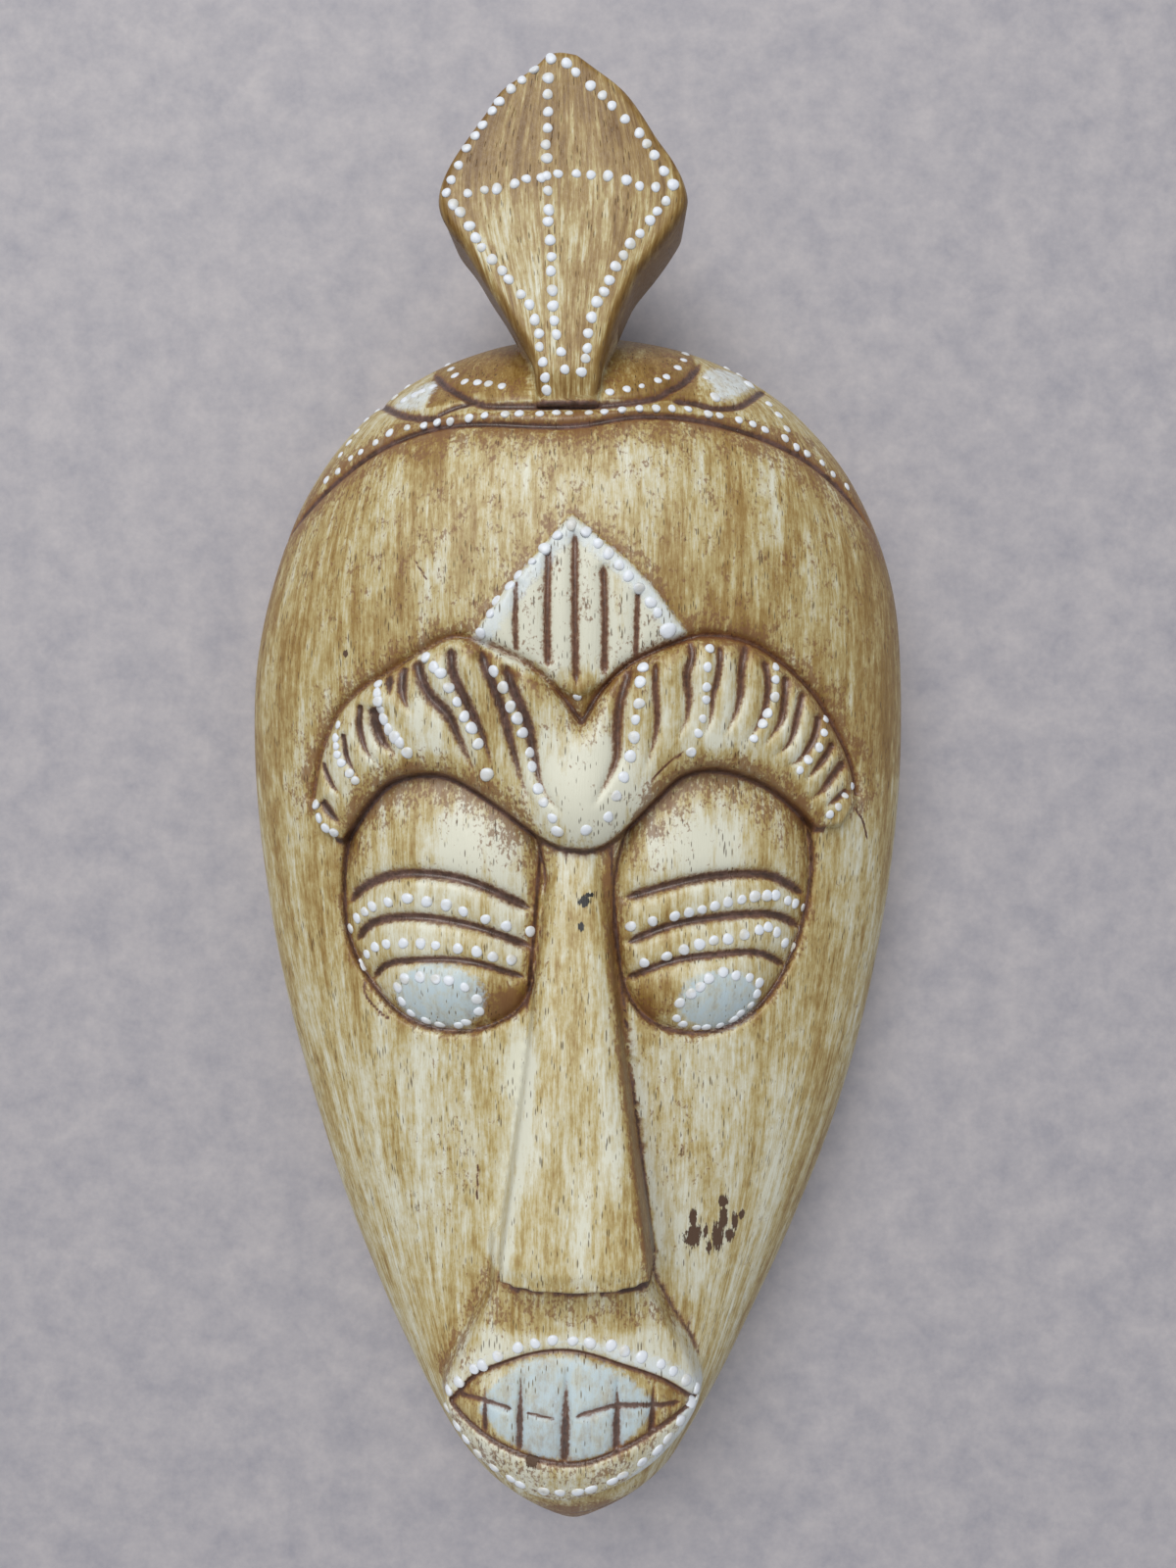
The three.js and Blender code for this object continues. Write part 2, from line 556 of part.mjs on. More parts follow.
// The whole carving. The chips that crossing cuts set free fall away at the end.
function maskSolid() {
  let wood = blockSolid();
  EYES.forEach((outline, i) => {
    const floor = (x, y) => Math.min(block(x, y), eyeHeight(x, y, i)) - SOCKET_DEPTH;
    const filled = woodUnder(floor, outline, ROOT_DEPTH - 1, SOCKET_TOLERANCE);
    const socket = prism(outline, ROOT_DEPTH, OVER_ALL).subtract(filled);
    wood = wood.subtract(socket).add(raised(drawnIn(outline, EYE_GAP), (x, y) => eyeHeight(x, y, i)));
  });
  wood = wood.add(raised(MUZZLE, muzzleHeight)).add(raised(DIAMOND, diamondHeight)).add(noseSolid())
    .add(raised(BROW, browHeight)).add(crestSolid());
  for (const cut of fineCuts()) wood = wood.subtract(cut);
  wood = weldedSolid(geometryOf(wood.subtract(hollowSolid())), 1e-3);
  return wood.decompose().reduce((most, offcut) => (offcut.volume() > most.volume() ? offcut : most));
}

function meshOf(solid, name, material) {
  const geometry = geometryOf(solid);
  geometry.computeVertexNormals();
  const mesh = new THREE.Mesh(geometry, material);
  mesh.name = name;
  return mesh;
}

const PAINTED_WOOD = new THREE.MeshStandardMaterial({ color: 0xd9c48d, roughness: 0.5, metalness: 0 });

const maskGroup = new THREE.Group();
maskGroup.add(meshOf(maskSolid(), "mask", PAINTED_WOOD));

export default maskGroup;
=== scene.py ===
# %% [markdown]
# # A carved wooden wall mask
# The real thing is one block of light, straight-grained wood, about a foot long. A carver cut a fluted
# brow, closed eyes, a wedge nose and a bared mouth into it, scooped out the back, painted it cream,
# rubbed brown glaze over the paint and wiped it off again, and dabbed rows of thick white dots on it
# with the end of a stick. This lesson builds it in the same order: block, carving, dots, finish.

# %% Load the fixed frame
import math
import bpy
import mathutils
import numpy as np
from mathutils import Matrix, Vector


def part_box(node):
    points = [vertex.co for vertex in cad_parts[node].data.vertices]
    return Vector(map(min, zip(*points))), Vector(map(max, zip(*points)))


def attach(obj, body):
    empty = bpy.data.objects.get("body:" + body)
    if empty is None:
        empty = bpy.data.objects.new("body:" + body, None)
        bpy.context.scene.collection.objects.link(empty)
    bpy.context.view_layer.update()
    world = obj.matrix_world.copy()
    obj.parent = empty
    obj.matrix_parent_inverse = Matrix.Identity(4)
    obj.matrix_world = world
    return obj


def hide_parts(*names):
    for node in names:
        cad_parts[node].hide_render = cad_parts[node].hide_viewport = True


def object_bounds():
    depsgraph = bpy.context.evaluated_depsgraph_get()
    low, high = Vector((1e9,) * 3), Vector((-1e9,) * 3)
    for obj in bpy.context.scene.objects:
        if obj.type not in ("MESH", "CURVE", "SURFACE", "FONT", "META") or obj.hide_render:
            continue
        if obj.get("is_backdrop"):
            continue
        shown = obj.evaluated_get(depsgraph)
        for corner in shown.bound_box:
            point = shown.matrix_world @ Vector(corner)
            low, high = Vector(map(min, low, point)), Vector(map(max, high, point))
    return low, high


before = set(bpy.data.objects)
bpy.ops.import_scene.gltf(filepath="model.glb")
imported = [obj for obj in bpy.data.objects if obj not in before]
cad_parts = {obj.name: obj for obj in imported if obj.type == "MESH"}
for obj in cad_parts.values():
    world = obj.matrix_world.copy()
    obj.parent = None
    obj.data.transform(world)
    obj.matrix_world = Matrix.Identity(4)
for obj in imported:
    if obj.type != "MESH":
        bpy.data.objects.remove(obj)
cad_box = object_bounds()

MM = 0.001
low_corner, high_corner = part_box("mask")
print("block in mm:", [round((b - a) / MM, 1) for a, b in zip(low_corner, high_corner)])

# %% [markdown]
# ## Sizes
# All carving is measured in millimetres and only turned into metres when a mesh is made. The overall
# sizes come from the frame, so the fine mesh can't drift away from the solid that it stands for.
# +X is the viewer's right, +Y runs from the chin to the crest and +Z comes out of the face.

# %% Sizes from the frame
CHIN = low_corner.y / MM
CREST_TIP = high_corner.y / MM
HALF_WIDTH = high_corner.x / MM
NOSE_TOP = high_corner.z / MM
HEAD_TOP = 107
WIDEST_AT = 20
RIM_HEIGHT = 14
print(f"chin {CHIN:.1f}, tip {CREST_TIP:.1f}, half width {HALF_WIDTH:.1f}, nose {NOSE_TOP:.1f}")

# %% [markdown]
# ## Small helpers for carving
# A relief is easiest to carve as a height over every place of the block, because each cut is then one
# line of arithmetic on whole arrays. Sculpting by hand would look freer, but it couldn't be repeated
# exactly and couldn't follow named sizes.

# %% Ramps and bumps
def smooth(low, high, value):
    """0 up to low, 1 from high on, and an S between them."""
    t = np.clip((value - low) / (high - low), 0, 1)
    return t * t * (3 - 2 * t)


def shoulder(t):
    """0 at 0 and 1 from 1 on, round like a quarter of a circle."""
    return np.sqrt(1 - (1 - np.clip(t, 0, 1)) ** 2)


def bump(value, centre, reach):
    return np.exp(-(((value - centre) / reach) ** 2))


# %% A smooth curve
def curve(points, per_span=6, closed=False):
    """A smooth line through the points: Catmull and Rom's spline."""
    p = np.array(points, float)
    before = p[-1:] if closed else 2 * p[:1] - p[1:2]
    after = p[:2] if closed else 2 * p[-1:] - p[-2:-1]
    q = np.concatenate([before, p, after])
    t = np.linspace(0, 1, per_span, endpoint=False)[:, None]
    spans = []
    for a, b, c, d in zip(q, q[1:], q[2:], q[3:]):
        bend = 2 * a - 5 * b + 4 * c - d + t * (3 * (b - c) + d - a)
        spans.append(b + 0.5 * t * (c - a + t * bend))
    line = np.concatenate(spans)
    return line if closed else np.concatenate([line, p[-1:]])


# %% Distance from a line
def distance(x, y, line, reach=16.0):
    """How far each place is from a line, at most reach, and the share of the line's length there."""
    line = np.asarray(line, float)
    low, high = line.min(0) - reach, line.max(0) + reach
    near = (x > low[0]) & (x < high[0]) & (y > low[1]) & (y < high[1])
    px, py = x[near], y[near]
    best = np.full(px.shape, reach)
    place = np.zeros(px.shape)
    steps = np.linalg.norm(np.diff(line, axis=0), axis=1)
    run = 0.0
    for (ax, ay), (bx, by), step in zip(line, line[1:], steps):
        t = np.clip(((px - ax) * (bx - ax) + (py - ay) * (by - ay)) / max(step, 1e-9) ** 2, 0, 1)
        d = np.hypot(px - ax - t * (bx - ax), py - ay - t * (by - ay))
        closer = d < best
        best[closer] = d[closer]
        place[closer] = (run + t[closer] * step) / steps.sum()
        run += step
    far = np.full(x.shape, reach)
    share = np.zeros(x.shape)
    far[near] = best
    share[near] = place
    return far, share


# %% Depth inside an outline
def within(x, y, ring, reach=16.0):
    """How deep each place lies inside a closed outline; outside it the depth is negative."""
    far, _ = distance(x, y, np.concatenate([ring, ring[:1]]), reach)
    low, high = ring.min(0), ring.max(0)
    near = (x >= low[0]) & (x <= high[0]) & (y >= low[1]) & (y <= high[1])
    px, py = x[near], y[near]
    odd = np.zeros(px.shape, bool)
    for (ax, ay), (bx, by) in zip(ring, np.roll(ring, -1, 0)):
        if ay != by:
            odd ^= ((ay > py) != (by > py)) & (px < ax + (bx - ax) * (py - ay) / (by - ay))
    inside = np.zeros(x.shape, bool)
    inside[near] = odd
    return np.where(inside, far, -far)


# %% [markdown]
# ## The block
# The carver starts from a long egg that is widest above the middle. Two formulas give its outline, a
# soft line gives its height from chin to cap, and a rounded section joins the two. All of them use the
# same curve, a superellipse, because two powers are enough to make it lean or full. The centre line
# wanders by a millimetre or two, because this was done by eye.

# %% The uncarved egg
CHIN_FULLNESS = 0.957
CHIN_ROUND = -134
CAP_FALLS = 66
CHIN_FALLS = -118
HEAD_CURVE = (2.36, 0.465)
CHEEK_CURVE = (1.82, 0.766)
CHIN_CURVE = (2, 1.2)
SECTION_CURVE = (2.3, 0.526)
CAP_CURVE = (2.4, 0.5)
CHIN_END_CURVE = (2.6, 0.5)


def superellipse(t, powers):
    """1 at 0 and 0 at 1."""
    return (1 - t ** powers[0]) ** powers[1]


def lean(y):
    """Where the centre line runs."""
    return 0.45 + 1.2 * smooth(24, 62, y) - 1.3 * smooth(-50, -115, y) + 0.6 * smooth(-128, -138, y)


def half_width(y):
    up = np.clip((y - WIDEST_AT) / (HEAD_TOP - WIDEST_AT), 0, 1)
    down = CHIN_FULLNESS * np.clip((WIDEST_AT - y) / (WIDEST_AT - CHIN), 0, 1)
    chin = np.clip((CHIN_ROUND - y) / (CHIN_ROUND - CHIN), 0, 1)
    above = superellipse(up, HEAD_CURVE)
    below = superellipse(down, CHEEK_CURVE) * superellipse(chin, CHIN_CURVE)
    return HALF_WIDTH * np.where(up > 0, above, below)


RIDGE = curve([
    (CHIN, 40), (-126, 46.5), (-98, 42), (-60, 43.5), (-20, 46), (8, 49), (34, 53), (55, 54), (75, 51.5),
    (HEAD_TOP, 45)
])


def ridge(y):
    """Height of the uncarved face along its middle."""
    height = np.interp(y, RIDGE[:, 0], RIDGE[:, 1])
    top = np.clip((y - CAP_FALLS) / (HEAD_TOP - CAP_FALLS), 0, 1)
    chin = np.clip((CHIN_FALLS - y) / (CHIN_FALLS - CHIN), 0, 1)
    over_rim = (height - RIM_HEIGHT) * superellipse(top, CAP_CURVE)
    return RIM_HEIGHT + over_rim * superellipse(chin, CHIN_END_CURVE)


def block(x, y):
    """Height of the uncarved block."""
    across = np.clip(np.abs(x - lean(y)) / np.maximum(half_width(y), 1e-6), 0, 1)
    return RIM_HEIGHT + (ridge(y) - RIM_HEIGHT) * superellipse(across, SECTION_CURVE)


# %% [markdown]
# ## Outlines on the face
# The brow is one wide moustache-like roll with a notch at the top and a point over the nose. Below it
# lie two almond eyes, and above it stands a small diamond. The mouth is a lens on a raised block.

# %% Brow
NOTCH = (1.5, 20.5)
POINT = (2, -4.5)
BROW_TOP_LEFT = curve([
    NOTCH, (-4, 27.5), (-11, 33), (-22, 37), (-29, 34.8), (-36, 30.8), (-41.5, 28), (-47, 23.5),
    (-50.3, 18), (-52.5, 12), (-54, 5)
])
BROW_TOP_RIGHT = curve([
    NOTCH, (6, 27.5), (12, 32.5), (22.5, 36.8), (29, 37.2), (35, 35.8), (40.2, 33), (44.3, 30), (48.5, 26),
    (52, 21.3), (55.3, 16), (57.5, 11), (58.5, 6)
])
BROW_LOW_LEFT = curve([
    POINT, (-3, -3.8), (-7.5, -1.5), (-13.5, 3), (-20, 7.5), (-25, 10), (-30.5, 10.5), (-36.5, 9), (-41, 5),
    (-47, -3)
])
BROW_LOW_RIGHT = curve([
    POINT, (6, -3.5), (10.5, 0), (15.5, 5), (21, 10), (27, 11.5), (33, 10.5), (39, 8), (45, 3.5), (49, -0.5)
])
BROW_UPPER = np.concatenate([BROW_TOP_LEFT[:0:-1], BROW_TOP_RIGHT])
BROW_LOWER = np.concatenate([BROW_LOW_LEFT[:0:-1], BROW_LOW_RIGHT])
BROW_TIP_LEFT = (-51.5, -1)
BROW_TIP_RIGHT = (54.5, 0)
BROW = np.concatenate([BROW_UPPER, [BROW_TIP_RIGHT], BROW_LOWER[::-1], [BROW_TIP_LEFT]])
print("brow:", len(BROW), "outline points")

# %% Eyes and diamond
EYE_LEFT = curve([
    (-29, 13), (-43, 8), (-47, -6), (-47.6, -17), (-46.6, -23.5), (-42.8, -31), (-35.3, -38.7),
    (-25, -41.6), (-15.5, -39.6), (-9.5, -34.5), (-7, -24), (-6, -8), (-13, 7)
], closed=True)
EYE_RIGHT = curve([
    (30, 13.5), (44, 8), (48.5, -4), (47.5, -18), (42.5, -31), (35, -39), (25, -42), (15, -39), (9.5, -30),
    (8, -10), (15, 8)
], closed=True)
EYES = [(EYE_LEFT, -26), (EYE_RIGHT, 28)]

DIAMOND_CORNERS = [(1, 25), (-20, 36.5), (-0.5, 60), (22, 37.5)]
DIAMOND_BOWS = [(-10, 29.5), (-11.5, 47.5), (12.5, 49), (12, 31)]
DIAMOND_SIDES = [curve([DIAMOND_CORNERS[i], bow, DIAMOND_CORNERS[(i + 1) % 4]])
                 for i, bow in enumerate(DIAMOND_BOWS)]
DIAMOND = np.concatenate([side[:-1] for side in DIAMOND_SIDES])
print("eyes and diamond:", len(EYE_LEFT) + len(EYE_RIGHT) + len(DIAMOND), "outline points")

# %% Muzzle and mouth
MUZZLE = curve([
    (-14.5, -78), (-17.2, -91.3), (-20.9, -99), (-24.2, -105.5), (-26.9, -111.5), (-27, -117.6),
    (-22.4, -125.1), (-15.4, -130.4), (-9, -133.6), (-4, -134.4), (0.2, -134), (8.2, -131.4),
    (16.2, -127.8), (23.2, -121.8), (26.4, -115), (23.8, -105.5), (20.6, -100), (17.7, -94.5), (15.6, -90),
    (13.5, -78)
], 4, closed=True)
LIP_UPPER = curve([
    (-24.9, -115.2), (-20, -108.8), (-14.5, -105.4), (-7, -102.8), (0.3, -102.5), (8.9, -105),
    (17.7, -109.2), (24.4, -115.2)
])
LIP_LOWER = curve([
    (24.4, -115.2), (18, -117.4), (9.7, -120.6), (1.8, -123), (-5.9, -122.6), (-13.9, -120.6),
    (-20, -118.2), (-24.9, -115.2)
])
MOUTH = np.concatenate([LIP_UPPER[:-1], LIP_LOWER[:-1]])
print("muzzle and mouth:", len(MUZZLE) + len(MOUTH), "outline points")

# %% [markdown]
# ## The big forms
# Each form changes the height inside its outline. A step is spread over about a millimetre, as a blade
# leaves it, because a sharper one would look like a saw's teeth on any grid.

# %% Nose
NOSE_MIDDLE = 0.2
NOSE_ROOT = 6
NOSE_END = -86.6
NOSE_END_BOW = 1.4
NOSE_HALF = (4.9, 14.3)
NOSE_SPREAD = 1.35
NOSE_HEIGHT = (46, NOSE_TOP)
NOSE_ROUND = 2.4
NOSE_WORN = 1.2
WALL_SLOPE = 8


def nose_half(y):
    t = np.clip((NOSE_ROOT - y) / (NOSE_ROOT - NOSE_END), 0, 1)
    return NOSE_HALF[0] + (NOSE_HALF[1] - NOSE_HALF[0]) * t**NOSE_SPREAD


def nose(x, y):
    """A wedge that leaves the brow narrow and low and ends wide, high and cut off square."""
    t = np.clip((NOSE_ROOT - y) / (NOSE_ROOT - NOSE_END), 0, 1)
    half = nose_half(y)
    side = np.abs(x - NOSE_MIDDLE)
    end = NOSE_END + NOSE_END_BOW * np.clip(side / NOSE_HALF[1], 0, 1.3) ** 2
    top = NOSE_HEIGHT[0] + (NOSE_HEIGHT[1] - NOSE_HEIGHT[0]) * t
    top = top - NOSE_ROUND * np.clip(side / half, 0, 1) ** 4 - NOSE_WORN * smooth(4, 0, y - end)
    return top - WALL_SLOPE * (np.maximum(side - half, 0) + np.maximum(end - y, 0))


# %% Heights of the other forms
EDGE = 0.6
EYE_SUNK, EYE_SUNK_ABOVE = 3.6, 2.6
LID_RISE, LID_ROUND = 5.2, 13
EYEBALL_RISE = 1.6
MUZZLE_RISE, MUZZLE_ROUND = 7.5, 14
DIAMOND_RISE = 1.4
BROW_RISE, BROW_ROUND = 3.6, 6
BROW_FALL, BROW_LOW_ROUND = 3.0, 8
BROW_CUT_IN = 0.6
BROW_MIDDLE_RISE = 3.2


def stepped(z, inside_z, depth):
    """z outside an outline and inside_z within it."""
    return z + (inside_z - z) * smooth(-EDGE, EDGE, depth)


def form(x, y):
    """Height of the block with its big forms: the eyes sink into it and the others rise from it."""
    base = block(x, y)
    z = base
    for ring, middle in EYES:
        depth = within(x, y, ring)
        sunk = EYE_SUNK + EYE_SUNK_ABOVE * smooth(-12, 10, y)
        eyeball = EYEBALL_RISE * bump(x, middle, 11) * bump(y, -33, 7)
        z = stepped(z, base - sunk + LID_RISE * shoulder(depth / LID_ROUND) + eyeball, depth)
    depth = within(x, y, MUZZLE)
    raised = MUZZLE_RISE * (1 - 0.5 * smooth(-112, -135, y))
    raised = raised * (0.55 * smooth(-0.5, 1.8, depth) + 0.45 * shoulder(depth / MUZZLE_ROUND))
    z = np.maximum(stepped(z, base + raised, depth), nose(x, y))
    z = z + DIAMOND_RISE * smooth(-0.4, 0.9, within(x, y, DIAMOND))
    rise = BROW_RISE * shoulder(distance(x, y, BROW_UPPER)[0] / BROW_ROUND) - BROW_CUT_IN
    rise = rise - BROW_FALL * (1 - shoulder(distance(x, y, BROW_LOWER)[0] / BROW_LOW_ROUND))
    rise = rise + BROW_MIDDLE_RISE * bump(x, NOTCH[0], 10) * bump(y, 4, 11)
    return stepped(z, base + rise, within(x, y, BROW))


print(f"brow middle {form(np.array([2.0]), np.array([8.0]))[0]:.1f} mm high")


# %% [markdown]
# ## The fine cuts
# Flutes, lid lines, tooth lines and the lines on the cap are all the same tool: a small gouge drawn
# along a line. It leaves a narrow trough, and the wood on both sides rolls softly into it. Each line
# below is its points, its width and its depth, all in millimetres.

# %% Flutes of the brow
FLUTES = [
    ([(-51.3, 5.2), (-49.3, 2.6), (-46.8, 0.2)], 2.2, 1.1),
    ([(-51, 13), (-49, 8.8), (-46.3, 5.8)], 1.4, 1.0),
    ([(-46, 18.7), (-45, 13.3), (-42.6, 9.5)], 1.3, 0.9),
    ([(-42.2, 24.5), (-42.4, 19.5), (-41, 15), (-38.8, 12.3)], 1.7, 1.1),
    ([(-39.2, 23.8), (-38.8, 20), (-37.5, 16.8), (-34.5, 13.8)], 2.8, 1.3),
    ([(-36.4, 30.8), (-36, 28), (-36, 25)], 2.0, 0.9),
    ([(-33, 31.5), (-33.4, 28), (-33, 25), (-31.5, 22)], 2.4, 1.2),
    ([(-30.5, 33), (-29.6, 29), (-27.8, 25.5), (-24.4, 21.9), (-22, 16.6), (-18.4, 8.8)], 2.7, 1.4),
    ([(-23.6, 35), (-23.2, 30), (-21.3, 25.5), (-19, 20.8), (-17, 16), (-15.2, 8.5)], 2.3, 1.3),
    ([(-18, 34.5), (-16.3, 29.4), (-13.7, 22.6), (-12.2, 16.6), (-10, 8.8), (-7.5, 3)], 2.3, 1.3),
    ([(-13.3, 31.6), (-11.6, 26.8), (-8.9, 20), (-7.5, 13.1), (-5.8, 7), (-2.2, 2.6)], 2.4, 1.3),
    ([(11, 31), (9, 24.8), (8.3, 18.8), (8.2, 14), (6.8, 10), (3.6, 4)], 2.3, 1.3),
    ([(15.6, 32), (15.6, 27), (16, 21), (15.2, 16), (13.4, 10.5)], 1.5, 0.9),
    ([(22.2, 36), (22.6, 33), (21.6, 29.3), (22.1, 24.7), (21.4, 20.3), (19.4, 16.8)], 1.9, 1.0),
    ([(28, 35.2), (27.8, 30), (26.8, 25.5), (26.3, 21), (24.7, 17)], 1.5, 0.9),
    ([(33.5, 36), (32.4, 31.3), (32.2, 26), (31, 21.5), (28.8, 17.3)], 1.9, 1.1),
    ([(36.9, 32.8), (37.7, 28.4), (37.4, 24), (35.6, 19.5), (33, 16.2)], 1.7, 1.0),
    ([(41.4, 30), (41.2, 25), (40.4, 20.6), (36.9, 15.6)], 1.9, 1.2),
    ([(45.2, 26.8), (44, 21.8), (42.6, 16.8), (39, 13.6)], 1.7, 1.1),
    ([(48.8, 22.5), (47.8, 17.8), (45.2, 13.8), (41.8, 11.6)], 1.9, 1.2),
    ([(52.2, 17), (50, 13.6), (47.6, 10.8), (45.8, 9)], 1.8, 1.2),
    ([(55, 13.2), (52, 10), (49.6, 7), (46.8, 5.2)], 2.1, 1.3),
    ([(55.6, 7.4), (53, 5.4), (50.4, 3.8)], 1.5, 1.0),
]
print(len(FLUTES), "flutes")

# %% Lines of the eyelids and the diamond
LIDS = [
    ([(-46.9, -16.6), (-43, -12.6), (-36, -9.7), (-27, -9.6), (-18.5, -11.6), (-8, -16.7)], 2.3, 1.4),
    ([(-45.6, -24.4), (-41, -19.8), (-33.5, -18.1), (-24.8, -18.8), (-16.8, -20.7), (-8, -24.4)], 2.0, 1.3),
    ([(-41.9, -32.2), (-38, -28.1), (-31, -26.7), (-20.5, -26.8), (-9.4, -30.4)], 1.6, 1.2),
    ([(9.3, -14.5), (19, -11.5), (28, -9.8), (39, -9.9), (47.8, -14.6)], 2.2, 1.4),
    ([(9.8, -23.5), (19, -19.6), (30, -17.9), (40, -17.9), (47.2, -21.4)], 2.0, 1.3),
    ([(9.6, -30.8), (19, -26.8), (28.5, -25.5), (37, -25.6), (44, -29.2)], 1.7, 1.2),
]
PANEL = [
    ([(-11, 33), (-11.2, 40), (-11, 47.5)], 1.2, 0.7),
    ([(-5, 30.5), (-5.1, 42), (-4.8, 54.5)], 1.6, 0.8),
    ([(0.4, 27.2), (0.2, 42), (0.2, 57)], 1.6, 0.8),
    ([(5.8, 29), (5.9, 40), (5.6, 50.5)], 1.6, 0.8),
    ([(11.8, 32.5), (12, 39), (12.2, 45.5)], 1.2, 0.7),
]

# %% Lines of the teeth and the cap
TEETH = [
    ([(-17.5, -119), (-17.5, -109)], 1.2, 0.6),
    ([(-10.7, -121.6), (-10.3, -106.2)], 1.7, 0.9),
    ([(-1.9, -123.4), (-1.4, -105.2)], 2.3, 1.0),
    ([(8.1, -121.8), (8.5, -106.4)], 1.9, 0.9),
    ([(15, -119.4), (15.6, -108.4)], 1.6, 0.8),
]
BITE = [
    ([(-24, -112.9), (-18, -112.3), (-11.8, -113)], 1.1, 0.6),
    ([(-9.4, -113.2), (-3.4, -114)], 0.7, 0.3),
    ([(-0.2, -113.9), (4.5, -112.8), (8.5, -112.1), (13.2, -112.7), (21.4, -114.2)], 1.2, 0.6),
]
BAND_LOW = [
    (-65, 60), (-57.6, 65.5), (-48.9, 71.3), (-40.7, 75.8), (-31.3, 78.8), (-21.8, 79.6), (-8.2, 78.6),
    (0.8, 78.5), (12.3, 80.6), (24, 80.6), (36, 78.5), (46.7, 75.1), (56, 69.6), (64, 62)
]
CAP = [
    (BAND_LOW, 1.7, 1.1),
    ([(-30.7, 97.5), (-27.5, 91.5), (-23.8, 87.7), (-20.4, 85.2), (-16.8, 83.6), (-8.3, 83.1), (5.8, 83.2),
        (15.1, 84.9), (19.2, 87.5), (23, 90.9), (27, 98)], 2.0, 1.2),
    ([(-27.8, 82.2), (-24, 83.8), (-19.5, 84.8)], 1.5, 0.9),
    ([(-44.8, 93.4), (-36.9, 85.2), (-31.2, 82.4), (-26.6, 81.8)], 2.0, 1.2),
    ([(19, 84.6), (23.8, 84.6), (27.4, 83.9), (32.4, 84.7), (35.7, 87.1), (41, 93.4)], 1.7, 1.1),
]

# %% Outlines that are cut in, and hairline cracks
RINGS = [
    (LIP_UPPER, 1.3, 0.9),
    (LIP_LOWER, 1.0, 0.6),
    (BROW_UPPER, 1.6, 1.2),
]
HAIRLINES = [
    ([(-43.2, -31.6), (-42.8, -34.9), (-40, -37.9), (-37.3, -39.7)], 0.55, 0.15),
    ([(21.2, 14.8), (17.4, 11.8), (14.4, 8.4)], 0.5, 0.15),
    ([(57.6, 4), (60, 1), (61.6, -3.5)], 0.5, 0.1),
    ([(-31, 52), (-28.5, 48)], 0.4, 0.1),
    ([(-19.5, -68), (-19.8, -76)], 0.4, 0.1),
    ([(-1.5, -142.5), (4, -141.2), (9.5, -138.5)], 0.5, 0.12),
    ([(-4.5, -144.6), (1, -144.4), (5.5, -143)], 0.4, 0.1),
]

# %% One stroke of the gouge
SOFT_ROLL = 0.45
STROKE_REACH = 2.6
NARROWEST = 0.3
FLUTE_ENDS = (0.06, 0.6)
LINE_ENDS = (0.08, 0.08)
TOOTH_ENDS = (0.12, 0.6)
NO_ENDS = (1e-6, 1e-6)


def trough(x, y, line, width, ends, roll=SOFT_ROLL):
    """1 in the stroke's middle, and narrower and shallower where the gouge goes in and lifts out.

    ends holds the shares of the line's length over which it does so. roll is how much the wood
    beside the stroke sinks with it."""
    far, share = distance(x, y, line, width * STROKE_REACH)
    lift = smooth(0, ends[0], share) * smooth(0, ends[1], 1 - share)
    wide = width * (NARROWEST + (1 - NARROWEST) * lift)
    soft = roll * bump(far, 0, wide * 1.3) * (far < width * STROKE_REACH)
    return lift**0.35 * (bump(far, 0, wide * 0.5) + soft)


GROUPS = [(FLUTES, FLUTE_ENDS), (TEETH, TOOTH_ENDS), (LIDS + PANEL + BITE + CAP + HAIRLINES, LINE_ENDS)]
STROKES = [(curve(points), width, depth, ends) for group, ends in GROUPS for points, width, depth in group]
STROKES += [(*ring, NO_ENDS) for ring in RINGS]
print(len(STROKES), "strokes of the gouge")

# %% All the cuts together
EYE_LINE_WIDTH, EYE_LINE_DEPTH = 1.0, 0.6


def eye_rings(x, y, roll=SOFT_ROLL):
    """The line around each eye, which the brow and the nose cover in part."""
    covered = smooth(-1.5, 0.5, within(x, y, BROW)) + smooth(-1, 1, nose(x, y) - block(x, y))
    line = np.zeros(x.shape)
    for ring, _ in EYES:
        closed = np.concatenate([ring, ring[:1]])
        line = np.maximum(line, trough(x, y, closed, EYE_LINE_WIDTH, NO_ENDS, roll))
    return line * np.clip(1 - covered, 0, 1)


def fine_cuts(x, y):
    """How much wood the gouge takes away."""
    taken = EYE_LINE_DEPTH * eye_rings(x, y)
    for line, width, depth, ends in STROKES:
        taken = np.maximum(taken, depth * trough(x, y, line, width, ends))
    return taken


# %% [markdown]
# Nothing carved by hand is quite even. A few long, shallow waves in fixed directions give the surface
# the slight wander that shows in its highlights. They come from a seeded generator, so every run gives
# the same wood.

# %% The carver's unevenness
wave_dice = np.random.default_rng(7)
WAVES = [(wave_dice.uniform(11, 38), wave_dice.uniform(0, math.tau), wave_dice.uniform(0, math.tau))
         for _ in range(9)]
WAVE_DEPTH = 0.04
WAVE_STRETCH = 0.6


def uneven(x, y):
    total = np.zeros(x.shape)
    for length, heading, phase in WAVES:
        along = x * math.cos(heading) + y * math.sin(heading) * WAVE_STRETCH
        total += np.sin(along * math.tau / length + phase)
    return WAVE_DEPTH * total


MOUTH_SUNK = 0.9
TEETH_BULGE, TEETH_ROUND = 0.5, 8


def skin(x, y):
    """The finished front surface of the head."""
    depth = within(x, y, MOUTH)
    sunk = smooth(-0.4, 0.4, depth) * (MOUTH_SUNK - TEETH_BULGE * shoulder(depth / TEETH_ROUND))
    return form(x, y) - sunk - fine_cuts(x, y) + uneven(x, y)


